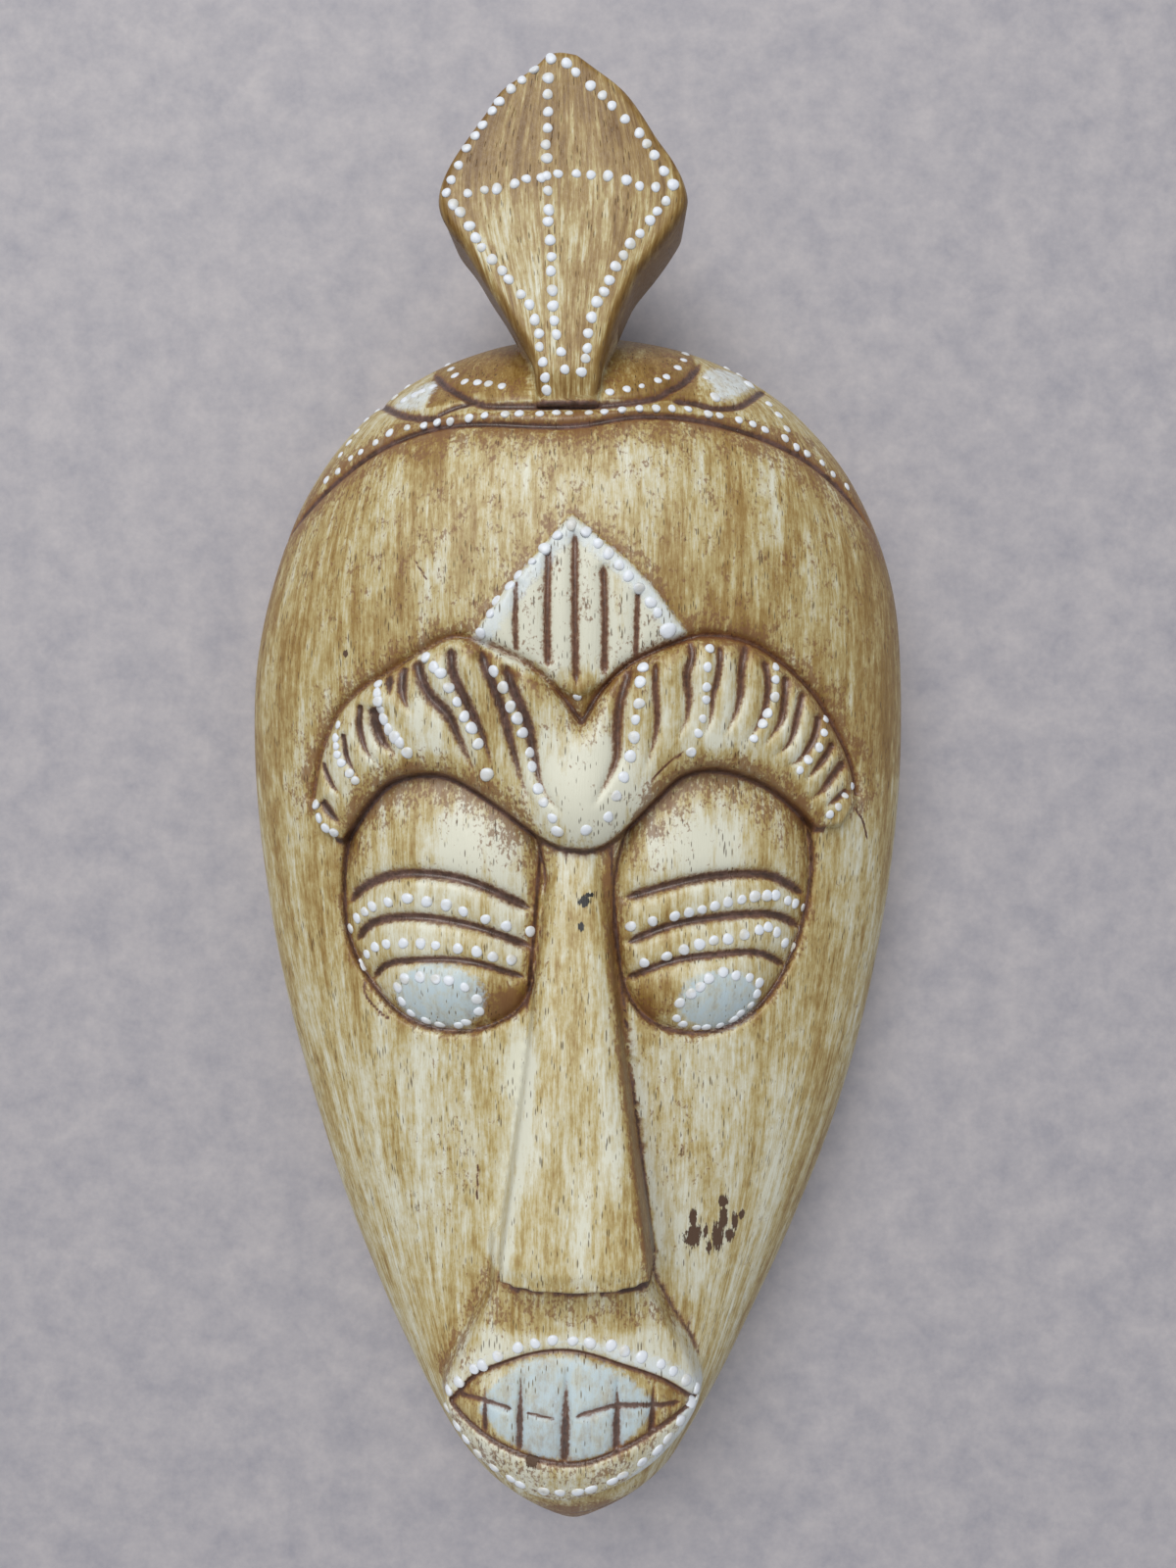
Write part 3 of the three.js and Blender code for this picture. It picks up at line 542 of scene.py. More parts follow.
# %% [markdown]
# ## Head mesh
# The height goes onto a grid whose columns follow the egg's outline, so the rim is a clean edge and not
# a staircase. Columns and rows crowd towards the rim, where the wood turns down. The wall then drops to
# the flat back in a few rings.

# %% Mesh helpers
COLUMNS = 340
ROWS = 620
CROWD = 1.2
WALL_RINGS = [(10, 0.996), (6, 0.99), (2.5, 0.978), (0.8, 0.97), (0, 0.963)]
MIDDLE = (HEAD_TOP + CHIN) / 2


def crowded(count, pull=CROWD):
    return np.sin(np.linspace(-1, 1, count + 1) * pull) / math.sin(pull)


def mesh_object(name, points, faces):
    """An object from points in millimetres."""
    mesh = bpy.data.meshes.new(name)
    mesh.from_pydata((np.asarray(points) * MM).tolist(), [], faces)
    mesh.update()
    made = bpy.data.objects.new(name, mesh)
    bpy.context.scene.collection.objects.link(made)
    return made


def grid_faces(index):
    """Quads between neighbours of an index grid; where corners coincide they become triangles."""
    a, b, c, d = index[:-1, :-1], index[:-1, 1:], index[1:, 1:], index[1:, :-1]
    faces = np.stack([a, b, c, d], -1).reshape(-1, 4).tolist()
    return [list(dict.fromkeys(face)) for face in faces]


# %% A grid over the egg
def egg_grid(columns, rows, pull=CROWD, inset=0):
    """Shares across and along the egg's outline, drawn in by inset, and their places x and y."""
    across = crowded(columns, pull)[None, :]
    along = crowded(rows, pull)[:, None] * np.ones_like(across)
    half_length = (HEAD_TOP - CHIN) / 2
    y = MIDDLE + (half_length - inset) * along
    x = lean(y) + half_width(MIDDLE + half_length * along) * (1 - inset / HALF_WIDTH) * across
    return across, along, x, y


# %% A relief closed below
def closed_relief(name, x, y, z, edge, rings):
    """A solid under a grid that starts and ends in a point: its wall goes down from the height of the
    edge in rings to a flat back."""
    z[:, [0, -1]] = edge
    z[[0, -1]] = edge
    rows, columns = x.shape
    inner = np.stack([x, y, z], -1)[1:-1].reshape(-1, 3)
    points = [inner, [(x[0, 0], y[0, 0], z[0, 0])], [(x[-1, 0], y[-1, 0], z[-1, 0])]]
    index = np.zeros((rows, columns), int)
    index[1:-1] = np.arange(len(inner)).reshape(rows - 2, columns)
    index[0], index[-1] = len(inner), len(inner) + 1
    faces = grid_faces(index)
    rim = np.concatenate([[index[0, 0]], index[1:-1, -1], [index[-1, 0]], index[-2:0:-1, 0]])
    outline = np.concatenate(points)[rim]
    count = len(inner) + 2
    for height, share in rings:
        ring = outline * (share, share, 0) + (0, MIDDLE * (1 - share), height)
        points.append(ring)
        lower = np.arange(count, count + len(rim))
        count += len(rim)
        faces += np.stack([rim, lower, np.roll(lower, -1), np.roll(rim, -1)], -1).tolist()
        rim = lower
    faces.append(rim[::-1].tolist())
    return mesh_object(name, np.concatenate(points), faces)


# %% The head
_, _, grid_x, grid_y = egg_grid(COLUMNS, ROWS)
head = closed_relief("carved_mask", grid_x, grid_y, skin(grid_x, grid_y), RIM_HEIGHT, WALL_RINGS)
print("head grid:", len(head.data.vertices), "points")

# %% [markdown]
# ## Crest
# The crest is a spade on a short neck, sawn square through its thickness and softened at the edges. It
# is a loft: the same rounded section, drawn again and again along Y at the width that the outline has
# there. Its foot sinks into the cap, and the two are joined into one solid.

# %% Crest outline and front
CREST_FRONT = 49.0
CREST_BACK = 31.0
CREST_EDGE = 2.2
CREST_UNDERCUT = 1.5
CREST_FOOT = 83
FOOT_DROP = 1.6
CREST_LEFT = curve([
    (CREST_FOOT, -7.6), (90, -8), (95, -10.2), (99.5, -13), (104, -15.6), (108.6, -18.6), (113.9, -21.8),
    (118.5, -25.3), (122.5, -26.7), (126.5, -26.2), (130.5, -24.4), (135, -21.3), (140, -17.6),
    (144.6, -14.4), (148.4, -8.8), (150.8, -6), (CREST_TIP, -3.4)
])
CREST_RIGHT = curve([
    (CREST_FOOT, 5), (90, 5.5), (95, 6.9), (99.5, 8.5), (104, 10.4), (108.6, 12.7), (113.9, 16.9),
    (118.5, 20.2), (122.5, 22.3), (126.5, 21.8), (130.5, 19.9), (135, 16.6), (140, 13.4), (144.6, 9.8),
    (148.4, 5), (150.8, 1.4), (CREST_TIP, -2.4)
])


def crest_span(y):
    """Half the crest's width and its middle at y; each outline is drawn as x against y."""
    left, right = [np.interp(y, side[:, 0], side[:, 1]) for side in (CREST_LEFT, CREST_RIGHT)]
    return (right - left) / 2, (right + left) / 2


def crest_edge(half):
    return np.minimum(CREST_EDGE, half * 0.45)


def crest_front(x, y):
    """Height of the crest's front, with its softened edge."""
    half, middle = crest_span(y)
    side = np.clip(np.abs(x - middle) / half, 0, 1)
    edge = crest_edge(half)
    tip = CREST_EDGE * (1 - shoulder((CREST_TIP - y) / CREST_EDGE))
    fall = np.maximum(edge * (1 - shoulder((1 - side) * half / edge)), tip)
    foot = FOOT_DROP * smooth(90, CREST_FOOT, y)
    return CREST_FRONT + 0.5 * (1 - side**2) - fall - foot + uneven(x, y)


# %% Crest mesh
SECTION_POINTS = 28
SECTION_STEP = 0.6
TIP_REACH = 4


def crest_section(y):
    """The points around the crest at one y: over its front, down its right wall and up its left one."""
    half, middle = map(float, crest_span(y))
    edge = float(crest_edge(half))
    x = middle + half * crowded(SECTION_POINTS, 1.35)
    front = np.stack([x, np.full_like(x, y), crest_front(x, np.full_like(x, y))], -1)
    turn = np.linspace(0, math.pi / 2, 5)
    wall = np.linspace(front[0, 2], CREST_BACK + edge, 8)[1:]
    right = [(half, z) for z in wall]
    right += [(half - edge + edge * math.cos(a), CREST_BACK + edge - edge * math.sin(a)) for a in turn[1:]]
    under = min(CREST_UNDERCUT, half * 0.2) / (CREST_FRONT - CREST_BACK)
    left = [(middle - x + under * (CREST_FRONT - z), y, z) for x, z in right[::-1]]
    return np.concatenate([front, [(middle + x, y, z) for x, z in right], left])


tip_rows = CREST_TIP - TIP_REACH * (1 - shoulder(np.linspace(0, 0.97, 12)))
rows_y = np.concatenate([np.arange(CREST_FOOT, CREST_TIP - TIP_REACH, SECTION_STEP), tip_rows])
sections = np.array([crest_section(y) for y in rows_y])
ring_size = sections.shape[1]
index = np.arange(len(rows_y) * ring_size).reshape(len(rows_y), ring_size)
crest_faces = grid_faces(np.concatenate([index, index[:, :1]], 1))
crest_faces += [index[0][::-1].tolist(), index[-1].tolist()]
crest = mesh_object("crest_solid", sections.reshape(-1, 3), crest_faces)
print("crest:", len(crest.data.vertices), "points in", len(rows_y), "sections")

# %% [markdown]
# ## Scooped back
# Such masks are hollowed with a wide gouge, both to save weight and to let the wood dry without
# splitting. The scoop is made as a solid of its own and taken away from the head. Its surface has the
# shallow facets that a gouge leaves.

# %% The scoop
WALL = 12
SCOOP_COLUMNS, SCOOP_ROWS, SCOOP_CROWD = 110, 170, 1.45
SCOOP_FLOOR = -3
FACET_WIDTH, FACET_LENGTH, FACET_DEPTH = 9.0, 19.8, 0.7
FACET_SHIFT = 1.9


def scoop_height(across, along, x, y):
    """Height of the scoop's roof, with the gouge's facets in rows that are shifted a little."""
    arch = np.sqrt(1 - np.abs(across) ** 2.6) * np.sqrt(1 - np.abs(along) ** 6)
    row = np.round(y / FACET_LENGTH)
    facets = np.abs(np.sin(x * math.pi / FACET_WIDTH + row * FACET_SHIFT)) * FACET_DEPTH
    return np.maximum((ridge(y) - WALL - 2) * arch - facets * (arch > 0.12), -1)


scoop_grid = egg_grid(SCOOP_COLUMNS, SCOOP_ROWS, SCOOP_CROWD, WALL)
scoop = closed_relief("scoop", *scoop_grid[2:], scoop_height(*scoop_grid), 0, [(SCOOP_FLOOR, 1.0)])
print("scoop:", len(scoop.data.vertices), "points")

# %% Join, hollow and thin out
MOST_TRIANGLES = 180000


def boolean(target, other, operation):
    step = target.modifiers.new(operation, "BOOLEAN")
    step.operation = operation
    step.solver = "MANIFOLD"
    step.object = other


def baked(made):
    """Applies the modifiers by taking the evaluated mesh."""
    graph = bpy.context.evaluated_depsgraph_get()
    mesh = bpy.data.meshes.new_from_object(made.evaluated_get(graph))
    made.modifiers.clear()
    old = made.data
    made.data = mesh
    bpy.data.meshes.remove(old)


def triangle_count(made):
    return sum(len(p.vertices) - 2 for p in made.data.polygons)


boolean(head, crest, "UNION")
boolean(head, scoop, "DIFFERENCE")
baked(head)
before = triangle_count(head)
thin = head.modifiers.new("thin", "DECIMATE")
thin.ratio = min(1, MOST_TRIANGLES / before)
baked(head)
for helper in (crest, scoop):
    bpy.data.objects.remove(helper)
print("joined:", before, "triangles, thinned to", triangle_count(head))

# %% [markdown]
# ## Where each finish lies
# The paint follows the carving: brown stays in the cuts and beside the raised edges, white is dabbed on
# the diamond, eyes, teeth and lips. Some zones also hold painted shade in creases and on walls turned
# away from the light, and painted highlights on the brow, the lids and the nose's left flank. Each of
# these is stored at the mesh's points as a number, and the material turns the numbers into colour with
# ragged edges. Painting by hand would be quicker once, but these rules follow the outlines wherever
# they move.

# %% Helpers for the zones
points = np.zeros(len(head.data.vertices) * 3)
head.data.vertices.foreach_get("co", points)
vx, vy, vz = (points.reshape(-1, 3) / MM).T

# A point is the crest's if it lies inside the crest's outline and stands off the cap or past its end.
over_block = vz - block(vx, vy)
crest_half, crest_middle = crest_span(vy)
crest_side = np.abs(vx - crest_middle) - crest_half
on_crest = (vy > CREST_FOOT) & (crest_side < 0.3) & (vz > CREST_BACK - 1)
on_crest = on_crest & ((over_block > 0.8) | (vy > HEAD_TOP - 2))
on_head = ~on_crest


def store(name, values, kind="FLOAT"):
    attribute = head.data.attributes.new(name, kind, "POINT")
    key = "value" if kind == "FLOAT" else "vector"
    attribute.data.foreach_set(key, np.asarray(values, np.float32).ravel())


def far_from(line):
    return distance(vx, vy, line)[0]


def beside(line, reach, side=1):
    """1 on a line, fading to 0 at its reach, and only where side says so."""
    return (1 - distance(vx, vy, line, reach)[0] / reach) ** 1.5 * side


def spots(marks):
    """The strongest of some soft round spots: strength, middle and reach of each."""
    return np.maximum.reduce([strength * bump(vx, x, wide) * bump(vy, y, tall)
                              for strength, (x, y), (wide, tall) in marks])


# %% Strokes of the gouge, filled with brown
cut = 0.85 * eye_rings(vx, vy, 0)
for line, width, depth, ends in STROKES:
    cut = np.maximum(cut, trough(vx, vy, line, width, ends, 0))

# The line along the brow's top is filled less than the others, and least on the left.
by_brow_top = smooth(1.5, 0.9, far_from(BROW_UPPER))
cut = cut * (1 - by_brow_top * (0.12 + 0.28 * smooth(2, -6, vx)))
cut = np.clip(cut, 0, 1)

# %% Painted shade in the creases beside the brow, the nose and the muzzle, and under the nose's end
NOSE_SHADE_REACH = 4.1
in_brow = within(vx, vy, BROW)
# A dark band just under the brow's low edge is painted shade, where the brow overhangs the lids.
under_brow_painted_shade = bump(in_brow, -0.3, 0.8) * (far_from(BROW_LOWER) < 2)
nose_side = np.abs(vx - NOSE_MIDDLE) - nose_half(vy) - 1.6
left_of_nose = vx < NOSE_MIDDLE
by_eyes = smooth(-40, -34, vy) * (vy < -3)
on_flank = (vy < -4) & (vy > NOSE_END)
# Thin dark lines beside the nose are painted shade over a little brown glaze, longer on the right side.
nose_side_glaze_and_shade = bump(nose_side, 0, 0.5) * np.where(left_of_nose, by_eyes, 0.85 * on_flank)
# A dark strip a few millimetres wide under the nose's end is painted shade of the gap beneath the nose.
below_nose = NOSE_END - vy
nose_end_painted_shade = smooth(NOSE_SHADE_REACH + 0.8, NOSE_SHADE_REACH, below_nose) * smooth(0, 1, below_nose)
nose_end_painted_shade = nose_end_painted_shade * smooth(NOSE_HALF[1] + 2, NOSE_HALF[1], np.abs(vx - NOSE_MIDDLE))
in_muzzle = within(vx, vy, MUZZLE)
# A thin dark line along the muzzle's right edge, away from the light, is painted shade over brown glaze.
right_of_muzzle = smooth(12, 16, vx) * smooth(-84, -88, vy) * smooth(-112, -106, vy)
muzzle_edge_glaze_and_shade = 0.7 * bump(in_muzzle, -0.4, 0.5) * right_of_muzzle
# The cut zone also holds the painted shade above, so it is drawn in the browns of the cuts.
store("cut", on_head * np.maximum.reduce([cut, under_brow_painted_shade, muzzle_edge_glaze_and_shade, nose_side_glaze_and_shade, nose_end_painted_shade]))

# %% Where the brown is rubbed in
SMUDGES = [(0.9, (1.5, 21), (7, 6)), (0.5, (34, 62), (9, 12)), (0.35, (20, -60), (9, 18)),
           (0.3, (-24, -70), (9, 18))]
EYE_CORNERS = [(1.5, (-12.8, -36), (7, 5.5)), (1, (14, -36), (6, 5.5))]
in_diamond = within(vx, vy, DIAMOND)
in_mouth = within(vx, vy, MOUTH)
in_eye = np.maximum(within(vx, vy, EYE_LEFT), within(vx, vy, EYE_RIGHT))
outside_brow = in_brow < 0
corners = spots(EYE_CORNERS) * (in_eye > 0)
lip_low = far_from(LIP_LOWER)
lower_lip = (in_muzzle > 0) * smooth(0.3, -0.3, in_mouth) * smooth(-113, -116, vy)
# On the nose's right wall, turned from the light, the brown is glaze with painted shade.
nose_wall_glaze_and_shade = smooth(-3.8, -1.4, nose_side) * smooth(0.8, -0.2, nose_side) * on_flank * (vx > 0)
eye_corner = smooth(3.6, 0.3, nose_side) * (nose_side > -0.5) * by_eyes

# %% Brown rubbed in beside the forms, with painted shade on the nose's right wall and the chin's end
stain_and_shade = np.maximum.reduce([
    # Outside and inside the brow's top edge, and on the lids and the brow along its low edge.
    beside(BROW_UPPER, 11, outside_brow & (vy > 2)) * np.where(in_diamond > 0, 0.5, 1),
    (0.5 + 0.5 * smooth(0, 20, vx)) * beside(BROW_UPPER, 6, in_brow > 0),
    1.1 * beside(BROW_LOWER, 15, (in_eye > 0) & (vy > -9)),
    (0.35 + 0.75 * smooth(0, 25, vx)) * beside(BROW_LOWER, 5, in_brow > 0),
    # Around the diamond, under the cap's band and over the whole forehead.
    0.9 * beside(DIAMOND, 6, in_diamond < 0),
    1.1 * beside(BAND_LOW, 14, vy < 82),
    0.36 * smooth(24, 44, vy) * (vy < 80) * outside_brow,
    # On the muzzle above the lips and along its left edge.
    0.62 * smooth(-82, -88, vy) * smooth(-101, -94, vy + 0.008 * vx**2) * (in_muzzle > 0),
    0.8 * beside(MUZZLE, 5, (vx < 0) & (vy > -114)) * smooth(-84, -90, vy),
    # Around the eyes and their corners, beside the nose, and on its right wall as glaze and painted shade.
    0.6 * beside(EYE_LEFT, 4),
    0.6 * beside(EYE_RIGHT, 4),
    0.9 * corners,
    1.1 * nose_wall_glaze_and_shade,
    0.9 * eye_corner,
    # In the mouth's corners and along its lower edge and on the lower lip; at the chin's end it is painted
    # shade.
    0.55 * smooth(-0.5, 1, in_mouth) * smooth(9, 20, np.abs(vx + 1)),
    0.75 * (in_mouth > 0) * smooth(3.2, 0.4, lip_low),
    0.58 * lower_lip,
    1.25 * bump(vx, 2, 15) * smooth(-134.5, -140, vy),
    spots(SMUDGES),
])
beside_neck = ((vx < -9) & (vx > -30)) | ((vx > 6) & (vx < 25))
in_lobes = on_head * beside_neck * (vy > 84.5) * smooth(1, 3, far_from(CAP[2][0]))
store("stain_and_shade", on_head * np.maximum(stain_and_shade, 0.5 * in_lobes))

# %% Thicker amber glaze, with painted shade on the crest's walls and the nose's right wall
CREST_SMUDGES = [(0.8, (6, 138), (8, 8)), (0.8, (-16, 131), (5, 9))]
crest_wall_glaze_and_shade = smooth(-3, -0.5, crest_side) * smooth(48, 44, vz)
store("amber_and_shade", np.maximum.reduce([
    # In the lobes beside the crest's neck, in the hollows and wherever brown is rubbed in; on the nose's
    # right wall this is also painted shade.
    1.1 * in_lobes,
    1.3 * corners,
    1.3 * nose_wall_glaze_and_shade,
    0.5 * eye_corner,
    0.5 * (in_mouth > 0) * np.maximum(smooth(11, 20, np.abs(vx + 1)), smooth(3.4, 0.6, lip_low)),
    0.5 * np.clip(stain_and_shade, 0, 1),
    # On the crest's walls as glaze and painted shade, on its face, more towards the tip, and along its
    # edges.
    3.6 * crest_wall_glaze_and_shade * on_crest,
    (0.3 + 0.4 * smooth(112, 130, vy) + spots(CREST_SMUDGES)) * on_crest,
    1.3 * smooth(-2.6, -0.6, crest_side) * on_crest,
    # On the temples.
    0.6 * smooth(48, 66, np.abs(vx)) * (vy > 10) * on_head,
    0.2 * smooth(70, 60, vy) * smooth(26, 48, np.abs(vx)) * (vy > 20),
]))

# %% Redder brown in some of the grooves
rust = [1.0 * (in_diamond > -1), 0.8 * ((in_brow > -1) & (vx > 4)), 0.4 * (in_mouth > -0.9)]
store("rust", on_head * np.maximum.reduce(rust))

# %% White and pale paint
OUTSIDE = -4
EYE_PATCHES = [((-27, -34), (9.6, 7)), ((29, -34.8), (8.6, 6.6))]
LEAVES = [[(-38, 87.2), (-34, 90.9), (-29.4, 93), (-28.6, 90.1), (-29.7, 86.4), (-32, 84.4)],
          [(26.3, 93), (29.7, 96), (35, 96), (37, 92), (34, 88.2), (29.3, 85.8), (28, 89)]]


def patch(centre, radii):
    """Depth inside an ellipse, in millimetres."""
    away = np.hypot((vx - centre[0]) / radii[0], (vy - centre[1]) / radii[1])
    return (1 - away) * min(radii)


diamond_top = np.concatenate([DIAMOND_SIDES[1], DIAMOND_SIDES[2]])
diamond_rim = np.minimum(in_diamond, 3.6 - far_from(diamond_top))
lip_up = far_from(LIP_UPPER)
lip_rim = np.minimum(lip_up - 0.9, 3.4 - lip_up)
lip_rim = np.where((in_mouth < 0) & (in_muzzle > 0), lip_rim, OUTSIDE) + smooth(-4, 10, vx) * 1.4 - 1.1
low_rim = np.minimum(in_muzzle - 0.3, 3.6 - in_muzzle) - 3 * smooth(14, 6, vx)
low_rim = np.where(vy < -112.5, low_rim, OUTSIDE)
leaves = [within(vx, vy, curve(leaf, closed=True)) for leaf in LEAVES]
white = np.maximum.reduce([diamond_rim, lip_rim, low_rim, *leaves])
store("white", np.clip(np.where(on_crest, OUTSIDE, white), OUTSIDE, -OUTSIDE))
teeth = in_mouth - 0.8 - 3.5 * smooth(9, 20, np.abs(vx + 1))
pale = np.maximum.reduce([patch(*p) for p in EYE_PATCHES] + [teeth])
store("pale", np.clip(pale, OUTSIDE, -OUTSIDE))

# %% Where the glaze was wiped off cleanest, with painted highlights on the brow, lids and nose's left flank
# The spots on the brow's middle and on the upper lids are painted highlights; the others are cleaner
# wiping.
WIPED_AND_HIGHLIGHTS = [(2.1, (1.5, 8), (12, 11)), (1.6, (-20, -3), (11, 8)), (1.5, (24, -3), (11, 8)),
         (0.3, (6, 66), (22, 9)), (0.9, (26, -92), (6, 7))]
WIPED_ON_CREST = [(0.5, (-9, 116), (9, 12))]
left_of_nose_foot = left_of_nose * smooth(-38, -46, vy)
right_of_nose_foot = (vx > 0) * smooth(-42, -48, vy)
wiped_and_highlight = np.maximum.reduce([
    spots(WIPED_AND_HIGHLIGHTS),
    # The diamond, the middle of the brow's roll as a painted highlight, and the flat of the nose.
    1.9 * smooth(-0.5, 1.5, in_diamond) * smooth(26, 34, vy),
    0.45 * smooth(2.5, 5, in_brow),
    0.2 * (nose_side < -3) * smooth(0, -12, vy) * (vy > NOSE_END + 2),
    # Both sides of the nose's lower half; on the left flank this is a painted highlight.
    1.1 * smooth(-6, -2, nose_side) * smooth(4, 1, nose_side) * left_of_nose_foot * on_flank,
    0.9 * smooth(0, 1, nose_side) * smooth(5, 2, nose_side) * right_of_nose_foot * on_flank,
    # The lips, the lids and the cheeks.
    0.8 * smooth(-97, -100, vy) * (in_muzzle > 0) * (in_mouth < 0) * smooth(-114, -112, vy),
    1.1 * lower_lip,
    0.4 * smooth(0, 4, in_eye),
    0.5 * bump(vy, -60, 40) * smooth(60, 30, np.abs(vx)),
])
store("wiped_and_highlight", np.where(on_crest, spots(WIPED_ON_CREST), wiped_and_highlight))
store("crest", on_crest)

# %% Direction of the brush and the grain
egg = (vx - lean(vy)) / np.maximum(half_width(vy), 4) * HALF_WIDTH
follow = smooth(0.55, 0.95, np.abs(egg) / HALF_WIDTH) * on_head
grain_x = vx + (egg - vx) * follow
fan = (vx + 2) / (0.5 + 0.5 * bump(vy, 124, 24))
grain_x = np.where(on_crest, fan, grain_x)
store("grain", np.stack([grain_x, vy, vz * 0.35], -1), "FLOAT_VECTOR")
print("points with a finish:", len(vx))

# %% [markdown]
# ## White dots
# The painter dipped the end of a stick in thick white acrylic and dabbed rows of dots. Each dot is a
# low dome of dried paint, so it is modelled: it catches light and casts a tiny shadow, which a painted
# circle wouldn't. A row is a line on the face with a number of dots, and closer means that the dots
# crowd towards the row's start (above 1) or its end (below 1).

# %% Rows of dots on the face: diameter, count, closer, points
FACE_ROWS = [
    (2.4, 4, 1, [(-52.5, 4.1), (-51.9, 1.3), (-50.2, -0.4), (-48.6, -1.6)]),
    (2.0, 7, 1, [(-47.3, 19.9), (-47.9, 17), (-46.7, 13.3), (-43.8, 9.3)]),
    (2.6, 9, 1, [(-38.5, 28.3), (-38.2, 24.2), (-36.1, 19.2), (-32.8, 14.8)]),
    (2.6, 8, 1.1, [(-28.5, 33), (-25.1, 28.8), (-20.8, 21.4), (-18.4, 16.2)]),
    (2.9, 1, 1, [(-16.9, 10.3)]),
    (2.7, 11, 1, [(-15.4, 29.9), (-12.5, 24.3), (-9.1, 16.8), (-7.3, 9), (-4.5, 2.3), (-2.7, -0.4)]),
    (2.7, 2, 1, [(2.3, -0.5), (6.3, 2.1)]),
    (2.6, 8, 0.95, [(8.3, 6.4), (11.1, 14.5), (11.7, 21), (13.4, 31)]),
    (2.2, 7, 0.95, [(22.4, 14.7), (25.1, 22.1), (25.9, 34.5)]),
    (2.2, 6, 1, [(39.1, 31.6), (39.1, 25.8), (35.1, 17.3)]),
    (2.1, 5, 1, [(50.6, 21.5), (48.9, 16.3), (44.7, 11.2)]),
    (2.1, 4, 1, [(57, 8.1), (54.7, 5.3), (51.8, 2.4)]),
    (2.6, 12, 1.25, [(-46, -21.3), (-44, -18.5), (-41.8, -16.6), (-36, -14.6), (-28, -14.6), (-16.5, -18.6),
        (-8.8, -20.8)]),
    (2.6, 12, 1.25, [(-44, -29.6), (-43.7, -27.4), (-40.5, -24.7), (-34.5, -23.2), (-26, -23.6),
        (-12.3, -26.3)]),
    (2.6, 14, 1, [(-34, -30.4), (-28.5, -30), (-22.5, -31), (-18.5, -35), (-20.5, -38.6), (-25, -40.4),
        (-30, -39.6), (-34.2, -36.8), (-35.8, -32.6)]),
    (2.6, 14, 0.8, [(11.1, -19.9), (17.8, -18), (24.8, -16.3), (38.6, -13.9), (42.5, -14.9), (47, -17.1)]),
    (2.6, 12, 0.85, [(14, -27), (24.2, -23.7), (32.2, -22.1), (38.6, -20.5), (42.5, -23), (44.9, -25.5)]),
    (2.5, 17, 1, [(26.7, -29.9), (21.3, -34.6), (20.7, -38.5), (25, -40.7), (31.3, -39.8), (36, -36),
        (36.6, -31.4), (29.7, -29.2)]),
    (2.6, 9, 1, [(-0.3, 58), (-9.7, 49.5), (-14.8, 43.5), (-18, 37.5)]),
    (2.5, 8, 1, [(2.2, 56.5), (9, 49.5), (13.8, 44), (16.3, 40.9)]),
    (3.5, 1, 1, [(18, 37.8)]),
    (2.0, 1, 1, [(0.6, 25.2)]),
    (2.6, 17, 1, [(-25.3, -113), (-19.8, -107), (-11.2, -101.8), (-2.8, -99.9), (8.6, -101.5), (17.8, -106),
        (22.8, -110.4), (24.2, -113)]),
    (2.8, 18, 1, [(-25.6, -117.2), (-21.3, -123), (-15, -127), (-8.9, -129.6), (-4, -130.2), (4.3, -129),
        (10.7, -125.8), (17.1, -121.9), (22.9, -115.6)]),
    (2.0, 35, 1, [(-52.3, 72), (-46.3, 75.6), (-41.2, 78.3), (-35.2, 80.3), (-25.7, 80.7), (-14, 81.4),
        (-3, 81), (3.3, 81.1), (13.5, 82.7), (25.9, 82.5), (38.1, 80.6), (46.7, 77), (57.5, 71.6)]),
    (2.1, 7, 0.9, [(-28, 99), (-24.1, 92.3), (-20.3, 90), (-14.8, 88)]),
    (2.0, 9, 1, [(3.8, 84.9), (10.1, 87.2), (15.1, 88.4), (21.1, 93.6), (23.6, 100)]),
    (2.1, 2, 1, [(32.5, 98), (35.3, 96.2)]),
    (3.0, 1, 1, [(36.8, 93)]),
    (2.3, 3, 1, [(40.6, 87.7), (42.3, 84.9), (43.4, 81.5)]),
    (2.6, 1, 1, [(28.4, 86.6)]),
    (2.2, 1, 1, [(27, 92)]),
    (2.2, 2, 1, [(-38.6, 91), (-36.6, 94.5)]),
    (1.9, 5, 1, [(-42.8, 89.2), (-45.4, 86), (-47.3, 82), (-49.2, 77.8)]),
    (2.3, 4, 1, [(-35.9, 88.2), (-33, 89.4), (-31.5, 89.4), (-29.4, 90.6)]),
]
print(len(FACE_ROWS), "rows of dots on the face")

# %% Rows of dots on the crest
CREST_ROWS = [
    (2.4, 11, 1, [(-8, 147.9), (-15.6, 140.2), (-21, 132.8), (-25.1, 124)]),
    (2.4, 12, 1, [(-4.6, 150), (-1.5, 149), (7, 141.1), (13, 134.6), (19.3, 125.6)]),
    (2.4, 16, 1, [(-23.7, 122), (-18.3, 113.7), (-12.8, 107), (-8.3, 100.5), (-6.5, 93), (-5.6, 85.6)]),
    (2.4, 15, 1, [(18, 122.3), (14.5, 118.5), (9.4, 111.3), (5, 103), (3, 98), (2.7, 92.5), (1.6, 89)]),
    (2.4, 19, 1, [(-4.8, 146), (-5.3, 133), (-5, 121), (-4.5, 110), (-3.8, 99), (-1.7, 89.5)]),
    (2.3, 13, 1, [(-20.8, 123.5), (-12, 125.2), (-5.1, 126.9), (3.3, 127.1), (15.7, 124.8)]),
]

# %% Where the dots sit
SLIP = 0.18
SPACING_SLIP = 0.12
dot_dice = np.random.default_rng(21)


